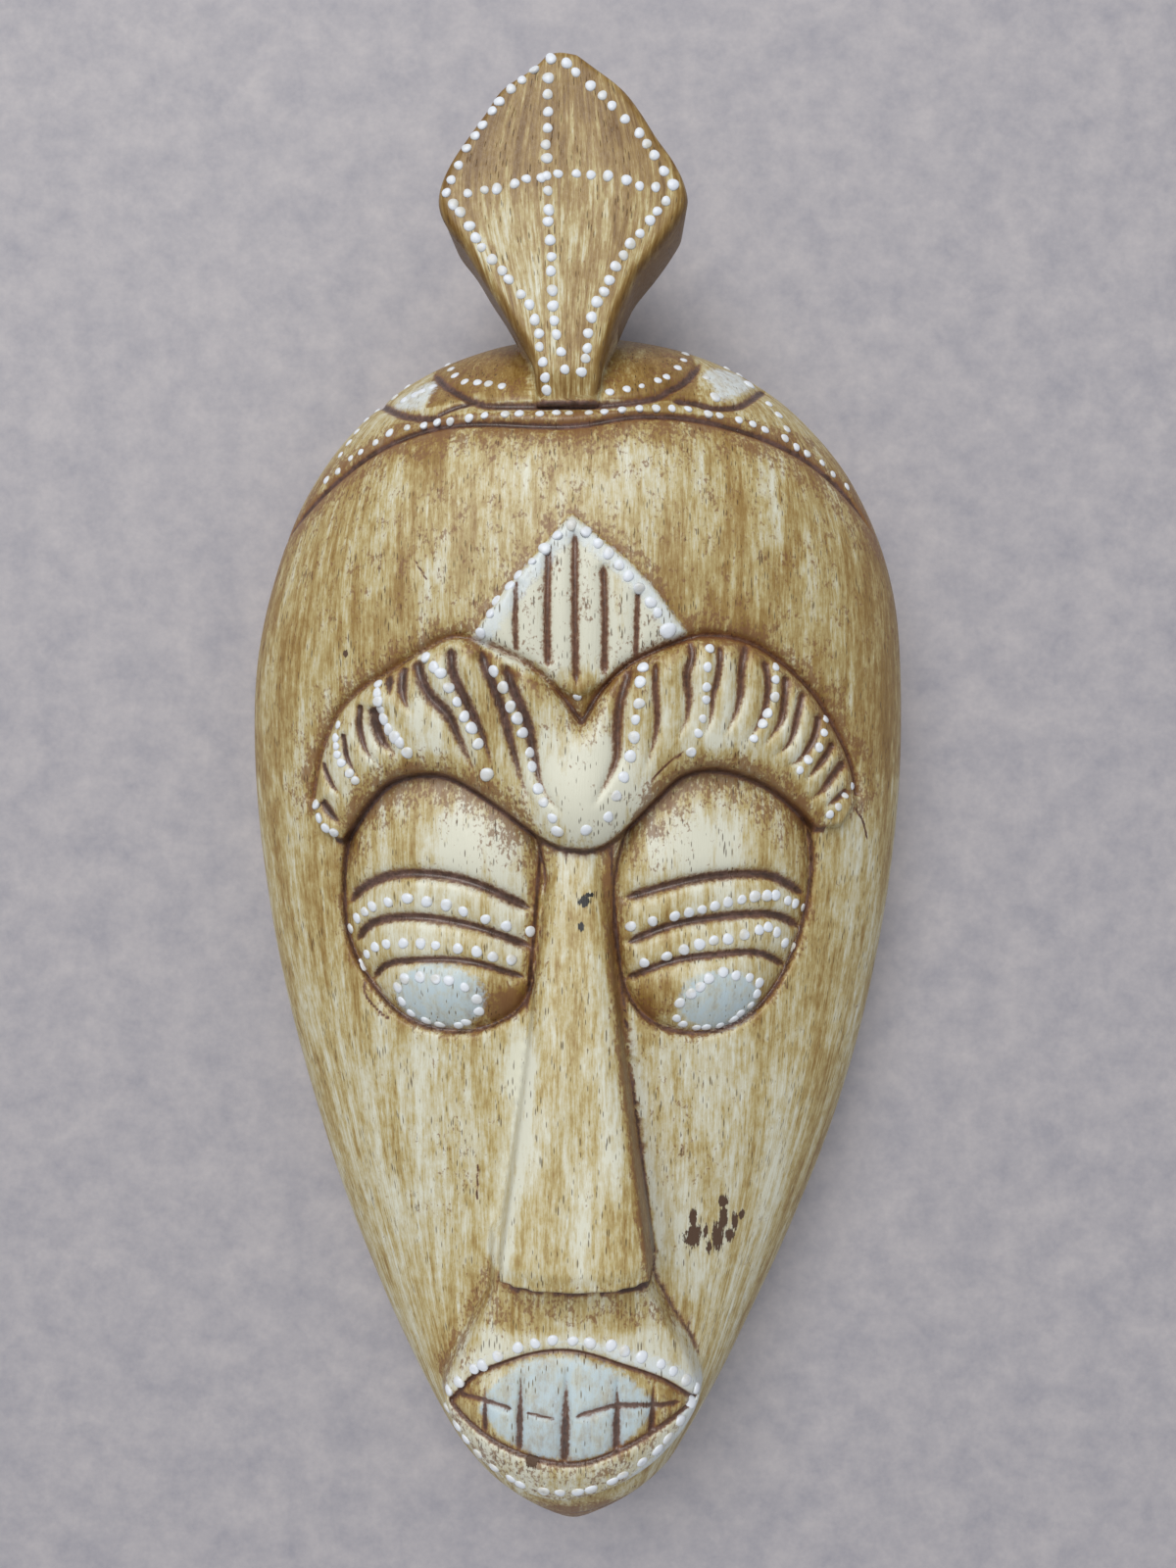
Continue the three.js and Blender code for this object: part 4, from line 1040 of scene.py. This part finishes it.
def dot_places(count, closer, points):
    """Evenly spaced shares of the row's length, with the painter's small slips."""
    if count == 1:
        return np.array(points, float)
    line = curve(points, 12)
    steps = np.linalg.norm(np.diff(line, axis=0), axis=1)
    run = np.concatenate([[0], np.cumsum(steps)]) / steps.sum()
    share = np.linspace(0, 1, count) ** closer
    share[1:-1] += dot_dice.normal(0, SPACING_SLIP / count, count - 2)
    places = np.stack([np.interp(share, run, line[:, k]) for k in range(2)], -1)
    return places + dot_dice.normal(0, SLIP, places.shape)


def settled(places, surface, step=0.7):
    """Each dot's place on the surface and the direction that it faces."""
    x, y = places.T
    slope_x = (surface(x + step, y) - surface(x - step, y)) / (2 * step)
    slope_y = (surface(x, y + step) - surface(x, y - step)) / (2 * step)
    normal = np.stack([-np.clip(slope_x, -1.5, 1.5), -np.clip(slope_y, -1.5, 1.5), np.ones_like(x)], -1)
    return np.stack([x, y, surface(x, y)], -1), normal / np.linalg.norm(normal, axis=1)[:, None]


# %% One dot: rings of a low dome, each a share of the radius out and of the height up
DOT_RINGS = [(0.0, 1.0), (0.5, 0.88), (0.82, 0.55), (0.97, 0.15), (1.02, -1.2)]
DOT_SIDES = 14
DOT_HEIGHT = 0.34
SIZE_SLIP, MOST_OVAL, LUMPS = 0.07, 0.1, 0.04
PINHOLES = 0.06
PINHOLE_LEFT = 0.25
dot_points, dot_faces = [], []


def add_dot(place, normal, diameter):
    side = np.cross([0, 1, 0], normal)
    side /= np.linalg.norm(side)
    upward = np.cross(normal, side)
    radius = diameter / 2 * dot_dice.normal(1, SIZE_SLIP)
    turn, wobble = dot_dice.uniform(0, math.tau, 2)
    oval = dot_dice.uniform(0, MOST_OVAL)
    pinhole = dot_dice.random() < PINHOLES
    first = len(dot_points)
    for share, height in DOT_RINGS:
        height = PINHOLE_LEFT if share == 0 and pinhole else height
        for k in range(DOT_SIDES if share else 1):
            angle = k / DOT_SIDES * math.tau
            out = 1 + oval * math.cos(2 * (angle - turn)) + LUMPS * math.sin(3 * angle + wobble)
            away = radius * share * out * (math.cos(angle) * side + math.sin(angle) * upward)
            dot_points.append(place + away + height * DOT_HEIGHT * radius * normal)
    for k in range(DOT_SIDES):
        dot_faces.append((first, first + 1 + k, first + 1 + (k + 1) % DOT_SIDES))
    for ring in range(len(DOT_RINGS) - 2):
        a = first + 1 + ring * DOT_SIDES
        for k in range(DOT_SIDES):
            n = (k + 1) % DOT_SIDES
            dot_faces.append((a + k, a + DOT_SIDES + k, a + DOT_SIDES + n, a + n))
    last = first + 1 + (len(DOT_RINGS) - 2) * DOT_SIDES
    dot_faces.append(tuple(last + k for k in range(DOT_SIDES))[::-1])


# %% All the dots
DOT_SHRINK = 0.88
dot_count = 0
for rows, surface in ((FACE_ROWS, skin), (CREST_ROWS, crest_front)):
    centres = [dot_places(count, closer, points) for _, count, closer, points in rows]
    widths = np.repeat([row[0] for row in rows], [len(c) for c in centres])
    for place, normal, diameter in zip(*settled(np.concatenate(centres), surface), widths):
        add_dot(place, normal, diameter * DOT_SHRINK)
    dot_count += len(widths)
dots = mesh_object("paint_dots", dot_points, dot_faces)
print(dot_count, "dots,", len(dot_faces), "faces")

# %% [markdown]
# ## Materials
# Colours are written as they look on a screen, as sRGB hex values, and one function turns them into the
# linear values that Blender mixes with. One more function adds a node, sets it up and feeds its sockets,
# which keeps a long shader readable. All patterns are measured in millimetres on the object.

# %% Colour and node helpers
def colour(code):
    """#rrggbb as linear red, green, blue and alpha."""
    parts = [int(code[i:i + 2], 16) / 255 for i in (1, 3, 5)]
    return [p / 12.92 if p <= 0.04045 else ((p + 0.055) / 1.055) ** 2.4 for p in parts] + [1]


def node(tree, kind, feeds=(), out=None, **settings):
    """Adds a node with its settings, feeds its live sockets in order or by name, and gives an output."""
    made = tree.nodes.new("ShaderNode" + kind)
    for name, value in settings.items():
        setattr(made, name, value)
    live = [s for s in made.inputs if s.enabled]
    named = {s.name: s for s in live}
    for key, value in feeds.items() if isinstance(feeds, dict) else enumerate(feeds):
        socket = named[key] if isinstance(key, str) else live[key]
        if isinstance(value, bpy.types.NodeSocket):
            tree.links.new(value, socket)
        else:
            socket.default_value = value
    return made.outputs[out] if out else next((s for s in made.outputs if s.enabled), None)


def new_material(name):
    """A material, its node tree, and the place on the object in millimetres."""
    made = bpy.data.materials.new(name)
    made.use_nodes = True
    tree = made.node_tree
    tree.nodes.clear()
    place = node(tree, "TexCoord", out="Object")
    return made, tree, node(tree, "VectorMath", {"Vector": place, "Scale": 1 / MM}, operation="SCALE")


# %% [markdown]
# ### Cream paint rubbed with brown glaze, on carved albizia
# Albizia is pale and soft, with open pores that show through thin paint as short dark dashes along the
# grain. Over the cream lies a translucent amber glaze, brushed along the grain and wiped, so it stays as
# streaks, and browner where the wipe couldn't reach. A satin varnish over it all gives a soft sheen.
# Real pores are about 0.2 mm wide, drawn here at about 0.35 mm so that they show in the render.

# %% Cream paint: place, zones and direction of the grain
ZONES = ("cut", "stain_and_shade", "amber_and_shade", "white", "pale", "wiped_and_highlight", "rust", "crest")
painted, tree, in_mm = new_material("cream_paint_rubbed_with_brown_glaze_on_carved_albizia")
zone = {name: node(tree, "Attribute", out="Fac", attribute_name=name) for name in ZONES}
grain = node(tree, "Attribute", out="Vector", attribute_name="grain")

# %% Patterns: source, size across and along the grain in millimetres, detail and roughness
PATTERNS = {
    "streaks": (grain, 2.2, 30.0, 4, 0.60),
    "brush": (grain, 0.9, 10.0, 3, 0.60),
    "fine": (grain, 0.4, 4.0, 3, 0.70),
    "fibres": (grain, 0.3, 5.0, 2, 0.60),
    "patches": (grain, 7.0, 30.0, 3, 0.55),
    "mottle": (in_mm, 1.8, 3.2, 4, 0.72),
    "speckle": (in_mm, 0.6, 1.0, 2, 0.60),
    "blotch": (in_mm, 3.5, 4.5, 3, 0.60),
    "edges": (in_mm, 0.9, 0.9, 3, 0.65),
    "dashes": (grain, 3.5, 9.0, 2, 0.60),
}
pattern = {}
for name, (source, width, length, detail, roughness) in PATTERNS.items():
    scaled = node(tree, "VectorMath", [source, (1 / width, 1 / length, 1 / width)], operation="MULTIPLY")
    pattern[name] = node(tree, "TexNoise", {"Vector": scaled, "Scale": 1.0, "Detail": detail,
                                            "Roughness": roughness})
print("patterns:", ", ".join(PATTERNS))

# %% Pores: stretched cells, each with a dark dash at its middle where the dashes pattern allows it
PORE_PITCH = (1 / 0.55, 1 / 4.0, 1 / 0.55)
pore = node(tree, "VectorMath", [grain, PORE_PITCH], operation="MULTIPLY")
pore = node(tree, "TexVoronoi", {"Vector": pore, "Scale": 1.0}, out="Distance")
pore_size = node(tree, "MapRange", [pattern["dashes"], 0.35, 0.65, 0.03, 0.28])
pore = node(tree, "Math", [pore, pore_size], operation="DIVIDE")
pore = node(tree, "MapRange", [pore, 0.6, 1.1, 1.0, 0.0])

# %% Cream under amber glaze: one tone, from thick glaze when low to clean pale cream at 1
AMBER_DARK = colour("#735116")
AMBER = colour("#997b43")
CREAM_WARM = colour("#bcab76")
CREAM_PALE = colour("#dad9c6")
LIGHTER = [((-0.55, 0.1), AMBER), ((0.1, 0.5), CREAM_WARM), ((0.45, 1.0), CREAM_PALE)]
TONE = {"streaks": 1.2, "brush": 0.8, "fine": 1.1, "patches": 1.4, "mottle": 1.0}
tone = 0.45 - sum(TONE.values()) / 2
by_pattern = [(pattern[name], share) for name, share in TONE.items()]
# The wiped zone also brightens the painted highlights, and the amber zone darkens the painted shade.
for source, share in [(zone["wiped_and_highlight"], 0.5), (zone["amber_and_shade"], -0.5)] + by_pattern:
    tone = node(tree, "Math", [source, share, tone], operation="MULTIPLY_ADD")
brushed = node(tree, "Math", [pattern["brush"], 1.4, -0.8], operation="MULTIPLY_ADD")
tone = node(tree, "Math", [brushed, zone["crest"], tone], operation="MULTIPLY_ADD")
coats = [(node(tree, "MapRange", [tone, low, high, 0.0, 1.0]), lighter) for (low, high), lighter in LIGHTER]

# %% [markdown]
# The brown that the wipe left has three places: a speckle where the wood was rubbed, the cuts, and the
# pores. A cut is light brown at its edges, filled with dark or reddish brown, and nearly black along its
# middle, because the glaze lies thickest there. The same browns also paint shade into the creases under
# the brow, beside the nose and the muzzle and under the nose's end, and the speckle paints shade at the
# chin's end.

# %% Brown in the cuts, which also paints the shade in the creases
GROOVE_EDGE = colour("#8a5d36")
GROOVE_DARK = colour("#4f3529")
GROOVE_BROWN = colour("#6e5149")
GROOVE_RUST = colour("#6c4226")
GROOVE_CORE = colour("#33251f")
GROOVE_STEPS = [(0.2, 0.5, 0.7), (0.42, 0.72, 0.94), (0.78, 1.1, 0.75)]
ragged_cut = node(tree, "Math", [pattern["edges"], 0.9, -0.45], operation="MULTIPLY_ADD")
ragged_cut = node(tree, "Math", [ragged_cut, zone["cut"]], operation="ADD")
edged, grooved, core = [node(tree, "MapRange", [ragged_cut, low, high, 0.0, most])
                        for low, high, most in GROOVE_STEPS]
browner = node(tree, "MapRange", [pattern["blotch"], 0.4, 0.62, 0.0, 1.0])
redder = node(tree, "Math", [zone["rust"], 0.7], operation="MULTIPLY")
groove_fill = GROOVE_DARK
for share, brown in ((browner, GROOVE_BROWN), (redder, GROOVE_RUST)):
    groove_fill = node(tree, "Mix", {"Factor": share, "A": groove_fill, "B": brown}, data_type="RGBA")

# %% Speckle, cuts and pores over the cream
SPECKLE_BROWN = colour("#7d5535")
PORE_BROWN = colour("#4a3119")
speckled = node(tree, "Math", [zone["stain_and_shade"], 1.25, -4.0], operation="MULTIPLY_ADD")
for name, share in (("speckle", 3.0), ("blotch", 2.6), ("edges", 0.9)):
    speckled = node(tree, "Math", [pattern[name], share, speckled], operation="MULTIPLY_ADD")
speckled = node(tree, "MapRange", [speckled, 0.0, 0.45, 0.0, 0.75])
pored = node(tree, "Math", [pore, 0.75], operation="MULTIPLY")
coats += [(speckled, SPECKLE_BROWN), (edged, GROOVE_EDGE), (grooved, groove_fill), (core, GROOVE_CORE),
          (pored, PORE_BROWN)]

# %% White and pale paint, which leaves cuts, pores and worn places open
WHITE_PAINT = colour("#d8e0e2")
PALE_PAINT = colour("#bbcfd9")
ragged = node(tree, "Math", [pattern["edges"], 3.0, -1.5], operation="MULTIPLY_ADD")
sealed = node(tree, "MapRange", [pattern["mottle"], 0.35, 0.6, 0.55, 1.0])
for gap in (pore, grooved):
    closed = node(tree, "Math", [1.0, gap], operation="SUBTRACT")
    sealed = node(tree, "Math", [sealed, closed], operation="MULTIPLY")
painted_over = {}
for name, paint, cover in (("white", WHITE_PAINT, 0.9), ("pale", PALE_PAINT, 0.85)):
    share = node(tree, "Math", [zone[name], ragged], operation="ADD")
    share = node(tree, "MapRange", [share, -0.3, 0.9, 0.0, cover])
    painted_over[name] = node(tree, "Math", [share, sealed], operation="MULTIPLY")
    coats.append((painted_over[name], paint))

# %% [markdown]
# A few knocks have taken the paint off down to dark wood, and small black knots show through on the
# nose. Each mark is made of small ellipses, and noise along the grain makes its edge ragged. They stay
# where the real ones are, because they are part of this mask's age.

# %% Chips and knots: middle and half size in millimetres
CHIPS = [
    ((24.2, -79.9), (0.9, 2.0)), ((24.2, -83.5), (1.9, 2.7)), ((30.4, -77), (1.2, 1.4)),
    ((30.5, -80.5), (1.0, 2.6)), ((29.4, -84.6), (1.4, 3.4)), ((33, -81.8), (0.8, 2.2)),
    ((34.5, -80.6), (0.7, 1.2)), ((32, -84.6), (1.0, 1.7)), ((26.8, -82.9), (0.6, 1.6)),
    ((27.5, -86.4), (0.7, 1.7)), ((-45.5, 34.4), (0.5, 0.8)), ((-8.1, -122.6), (1.3, 1.5)),
]
KNOTS = [((1.9, -14.4), (1.3, 1.2)), ((3, -13.2), (0.9, 0.5)), ((1.4, -19.3), (0.8, 1.0))]
CHIP_BROWN = colour("#57402f")
KNOT_BLACK = colour("#1d1a18")


def knocked(places):
    """1 inside any of the small ellipses, with an edge that splinters along the grain."""
    nearest = 100.0
    for (x, y), (wide, tall) in places:
        away = node(tree, "VectorMath", [in_mm, (x, y, 0)], operation="SUBTRACT")
        away = node(tree, "VectorMath", [away, (1 / wide, 1 / tall, 0)], operation="MULTIPLY")
        away = node(tree, "VectorMath", [away], out="Value", operation="LENGTH")
        nearest = node(tree, "Math", [away, nearest], operation="MINIMUM")
    for name, share in (("speckle", 1.0), ("fine", 1.6)):
        nearest = node(tree, "Math", [pattern[name], share, nearest], operation="MULTIPLY_ADD")
    return node(tree, "MapRange", [nearest, 2.25, 2.12, 0.0, 1.0])


chipped = knocked(CHIPS)
coats += [(chipped, CHIP_BROWN), (knocked(KNOTS), KNOT_BLACK)]
print(len(CHIPS), "chips and", len(KNOTS), "knots")

# %% Lay the coats over each other, from thick glaze up to the knocks
skin_colour = AMBER_DARK
for share, coat in coats:
    skin_colour = node(tree, "Mix", {"Factor": share, "A": skin_colour, "B": coat}, data_type="RGBA")
print(len(coats), "coats of colour")

# %% Relief and sheen of the painted skin
RELIEF = 0.2 * MM
relief = 0.0
for source, share in ((pattern["fibres"], 0.35), (pattern["fine"], 0.35), (pore, -0.6), (chipped, -0.9),
                      (painted_over["white"], 0.5)):
    relief = node(tree, "Math", [source, share, relief], operation="MULTIPLY_ADD")
relief = node(tree, "Bump", {"Strength": 0.7, "Distance": RELIEF, "Height": relief}, out="Normal")
sheen = node(tree, "MapRange", [pattern["speckle"], 0.3, 0.7, 0.36, 0.5])
for source, share in ((grooved, -0.1), (chipped, 0.3)):
    sheen = node(tree, "Math", [source, share, sheen], operation="MULTIPLY_ADD")
surface = node(tree, "BsdfPrincipled", {"Base Color": skin_colour, "Roughness": sheen, "Normal": relief})
node(tree, "OutputMaterial", [surface])

# %% [markdown]
# ### Bare gouged albizia
# The back was never painted. It is the same pale wood, darkened by handling and thinned stain, with the
# same open pores, and rougher because the gouge leaves it fibrous.

# %% Bare wood
BARE_WOOD = colour("#b08a5c")
BARE_DARK = colour("#84603a")
bare, tree, in_mm = new_material("bare_gouged_albizia_with_thin_brown_stain")
bare_pattern = {}
for name, (width, length, detail) in {"rings": (5.0, 90.0, 4), "fibres": (0.5, 12.0, 3)}.items():
    scaled = node(tree, "VectorMath", [in_mm, (1 / width, 1 / length, 1 / width)], operation="MULTIPLY")
    bare_pattern[name] = node(tree, "TexNoise", {"Vector": scaled, "Scale": 1.0, "Detail": detail})
pore = node(tree, "VectorMath", [in_mm, PORE_PITCH], operation="MULTIPLY")
pore = node(tree, "TexVoronoi", {"Vector": pore, "Scale": 1.0}, out="Distance")
pore = node(tree, "Math", [pore, 0.16], operation="LESS_THAN")
late_rings = node(tree, "MapRange", [bare_pattern["rings"], 0.35, 0.65, 0.0, 0.8])
dark_fibres = node(tree, "MapRange", [bare_pattern["fibres"], 0.5, 0.8, 0.0, 0.4])
pored = node(tree, "Math", [pore, 0.75], operation="MULTIPLY")
wood = BARE_WOOD
for share, dark in ((late_rings, BARE_DARK), (dark_fibres, BARE_DARK), (pored, PORE_BROWN)):
    wood = node(tree, "Mix", {"Factor": share, "A": wood, "B": dark}, data_type="RGBA")
relief = node(tree, "Math", [pore, -0.8, bare_pattern["fibres"]], operation="MULTIPLY_ADD")
relief = node(tree, "Bump", {"Strength": 0.8, "Distance": RELIEF, "Height": relief}, out="Normal")
rough = node(tree, "MapRange", [bare_pattern["fibres"], 0.3, 0.7, 0.62, 0.8])
surface = node(tree, "BsdfPrincipled", {"Base Color": wood, "Roughness": rough, "Normal": relief})
node(tree, "OutputMaterial", [surface])

# %% [markdown]
# ### Thick white acrylic
# The dots are undiluted acrylic, slightly cool beside the cream, and smoother than the wood because the
# paint levelled as it dried. A little brown wax has stayed on some of them.

# %% Acrylic dots
ACRYLIC = colour("#e2e7ee")
ACRYLIC_RUBBED = colour("#c9c4b2")
GRIT_RELIEF = 0.1 * MM
acrylic, tree, in_mm = new_material("thick_white_acrylic_dabbed_with_a_stick")
rubbed = node(tree, "TexNoise", {"Vector": in_mm, "Scale": 0.3, "Detail": 3.0})
rubbed = node(tree, "MapRange", [rubbed, 0.5, 0.72, 0.0, 0.8])
grit = node(tree, "TexNoise", {"Vector": in_mm, "Scale": 1.6, "Detail": 2.0})
paint = node(tree, "Mix", {"Factor": rubbed, "A": ACRYLIC, "B": ACRYLIC_RUBBED}, data_type="RGBA")
relief = node(tree, "Bump", {"Strength": 0.5, "Distance": GRIT_RELIEF, "Height": grit}, out="Normal")
rough = node(tree, "MapRange", [grit, 0.3, 0.7, 0.3, 0.45])
surface = node(tree, "BsdfPrincipled", {"Base Color": paint, "Roughness": rough, "Normal": relief})
node(tree, "OutputMaterial", [surface])

# %% Put the finishes on: bare wood on the rim's foot and wherever a face lies well inside the block
WELL_INSIDE, END_MARGIN, FOOT_HEIGHT = 6, 8, 0.3
faces = head.data.polygons
centre = np.zeros(len(faces) * 3)
faces.foreach_get("center", centre)
cx, cy, cz = (centre.reshape(-1, 3) / MM).T
inside = (cz < block(cx, cy) - WELL_INSIDE) & (np.abs(cx - lean(cy)) < half_width(cy) - WELL_INSIDE)
inside = inside & (cy < HEAD_TOP - END_MARGIN) & (cy > CHIN + END_MARGIN)
under = (cz < FOOT_HEIGHT) | inside
head.data.materials.clear()
for finish in (painted, bare):
    head.data.materials.append(finish)
faces.foreach_set("material_index", under.astype(np.int32))
dots.data.materials.append(acrylic)
for made in (head, dots):
    made.data.polygons.foreach_set("use_smooth", np.ones(len(made.data.polygons), bool))
print("bare faces:", int(under.sum()), "of", len(faces))

# %% Hand the fine meshes to the frame
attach(head, "root")
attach(dots, "root")
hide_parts("mask")

# %% [markdown]
# ## Table, light and camera
# The photograph looks straight down at a pale table by soft window light from the upper left. One large
# area light stands for the window, and a pale world fills the shadows. The camera is as close as a phone
# held over the mask, which is why the crest and the chin look drawn in.

# %% Pale table
TABLE = colour("#b8b3b5")
TABLE_GREY = colour("#9b99a1")
TABLE_SIZE = 3000
TABLE_GAP = 0.3
table_top, tree, in_mm = new_material("pale_painted_table")
cloud = node(tree, "TexNoise", {"Vector": in_mm, "Scale": 0.1, "Detail": 6.0, "Roughness": 0.75})
cloud = node(tree, "MapRange", [cloud, 0.3, 0.7, 0.0, 1.0])
tone = node(tree, "Mix", {"Factor": cloud, "A": TABLE, "B": TABLE_GREY}, data_type="RGBA")
surface = node(tree, "BsdfPrincipled", {"Base Color": tone, "Roughness": 0.6})
node(tree, "OutputMaterial", [surface])
table_corners = [(-1, -1), (1, -1), (1, 1), (-1, 1)]
table_corners = [(x * TABLE_SIZE / 2, y * TABLE_SIZE / 2, -TABLE_GAP) for x, y in table_corners]
floor = mesh_object("table", table_corners, [(0, 1, 2, 3)])
floor.data.materials.append(table_top)
floor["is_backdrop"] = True

# %% Window light and fill, in metres and watts
WINDOW_AT = (-0.72, 1.6, 2.9)
WINDOW_AIM = (0, 0.01, 0.03)
WINDOW_WIDTH = 2.7
WINDOW_POWER = 91
WINDOW_WARMTH = (1.0, 0.985, 0.96)
ROOM_LIGHT = colour("#dfe3ea")
ROOM_STRENGTH = 0.49
window = bpy.data.lights.new("window", "AREA")
window.shape = "DISK"
window.size = WINDOW_WIDTH
window.energy = WINDOW_POWER
window.color = WINDOW_WARMTH
window = bpy.data.objects.new("window", window)
window.location = WINDOW_AT
aim = mathutils.Vector(WINDOW_AIM) - window.location
window.rotation_euler = aim.to_track_quat("-Z", "Y").to_euler()
bpy.context.scene.collection.objects.link(window)
world = bpy.data.worlds.new("soft_room")
world.use_nodes = True
background = world.node_tree.nodes["Background"].inputs
background["Color"].default_value = ROOM_LIGHT
background["Strength"].default_value = ROOM_STRENGTH
bpy.context.scene.world = world
print("window", WINDOW_WIDTH, "m wide,", round(aim.length, 2), "m away")

# %% Camera above the face, in millimetres
CAMERA_AT = (2.7, 8.5, 270)
FOCAL_SHARE = 1155 / 1600
SENSOR = 36
lens = bpy.data.cameras.new("camera")
lens.sensor_width = SENSOR
lens.lens = SENSOR * FOCAL_SHARE
lens.clip_start = 0.01
camera = bpy.data.objects.new("camera", lens)
camera.location = [v * MM for v in CAMERA_AT]
bpy.context.scene.collection.objects.link(camera)
bpy.context.scene.camera = camera
bpy.context.scene.view_settings.view_transform = "Standard"
print("lens", round(lens.lens, 1), "mm")

# %% Sizes and finish
[[list(corner) for corner in box] for box in (cad_box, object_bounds())]
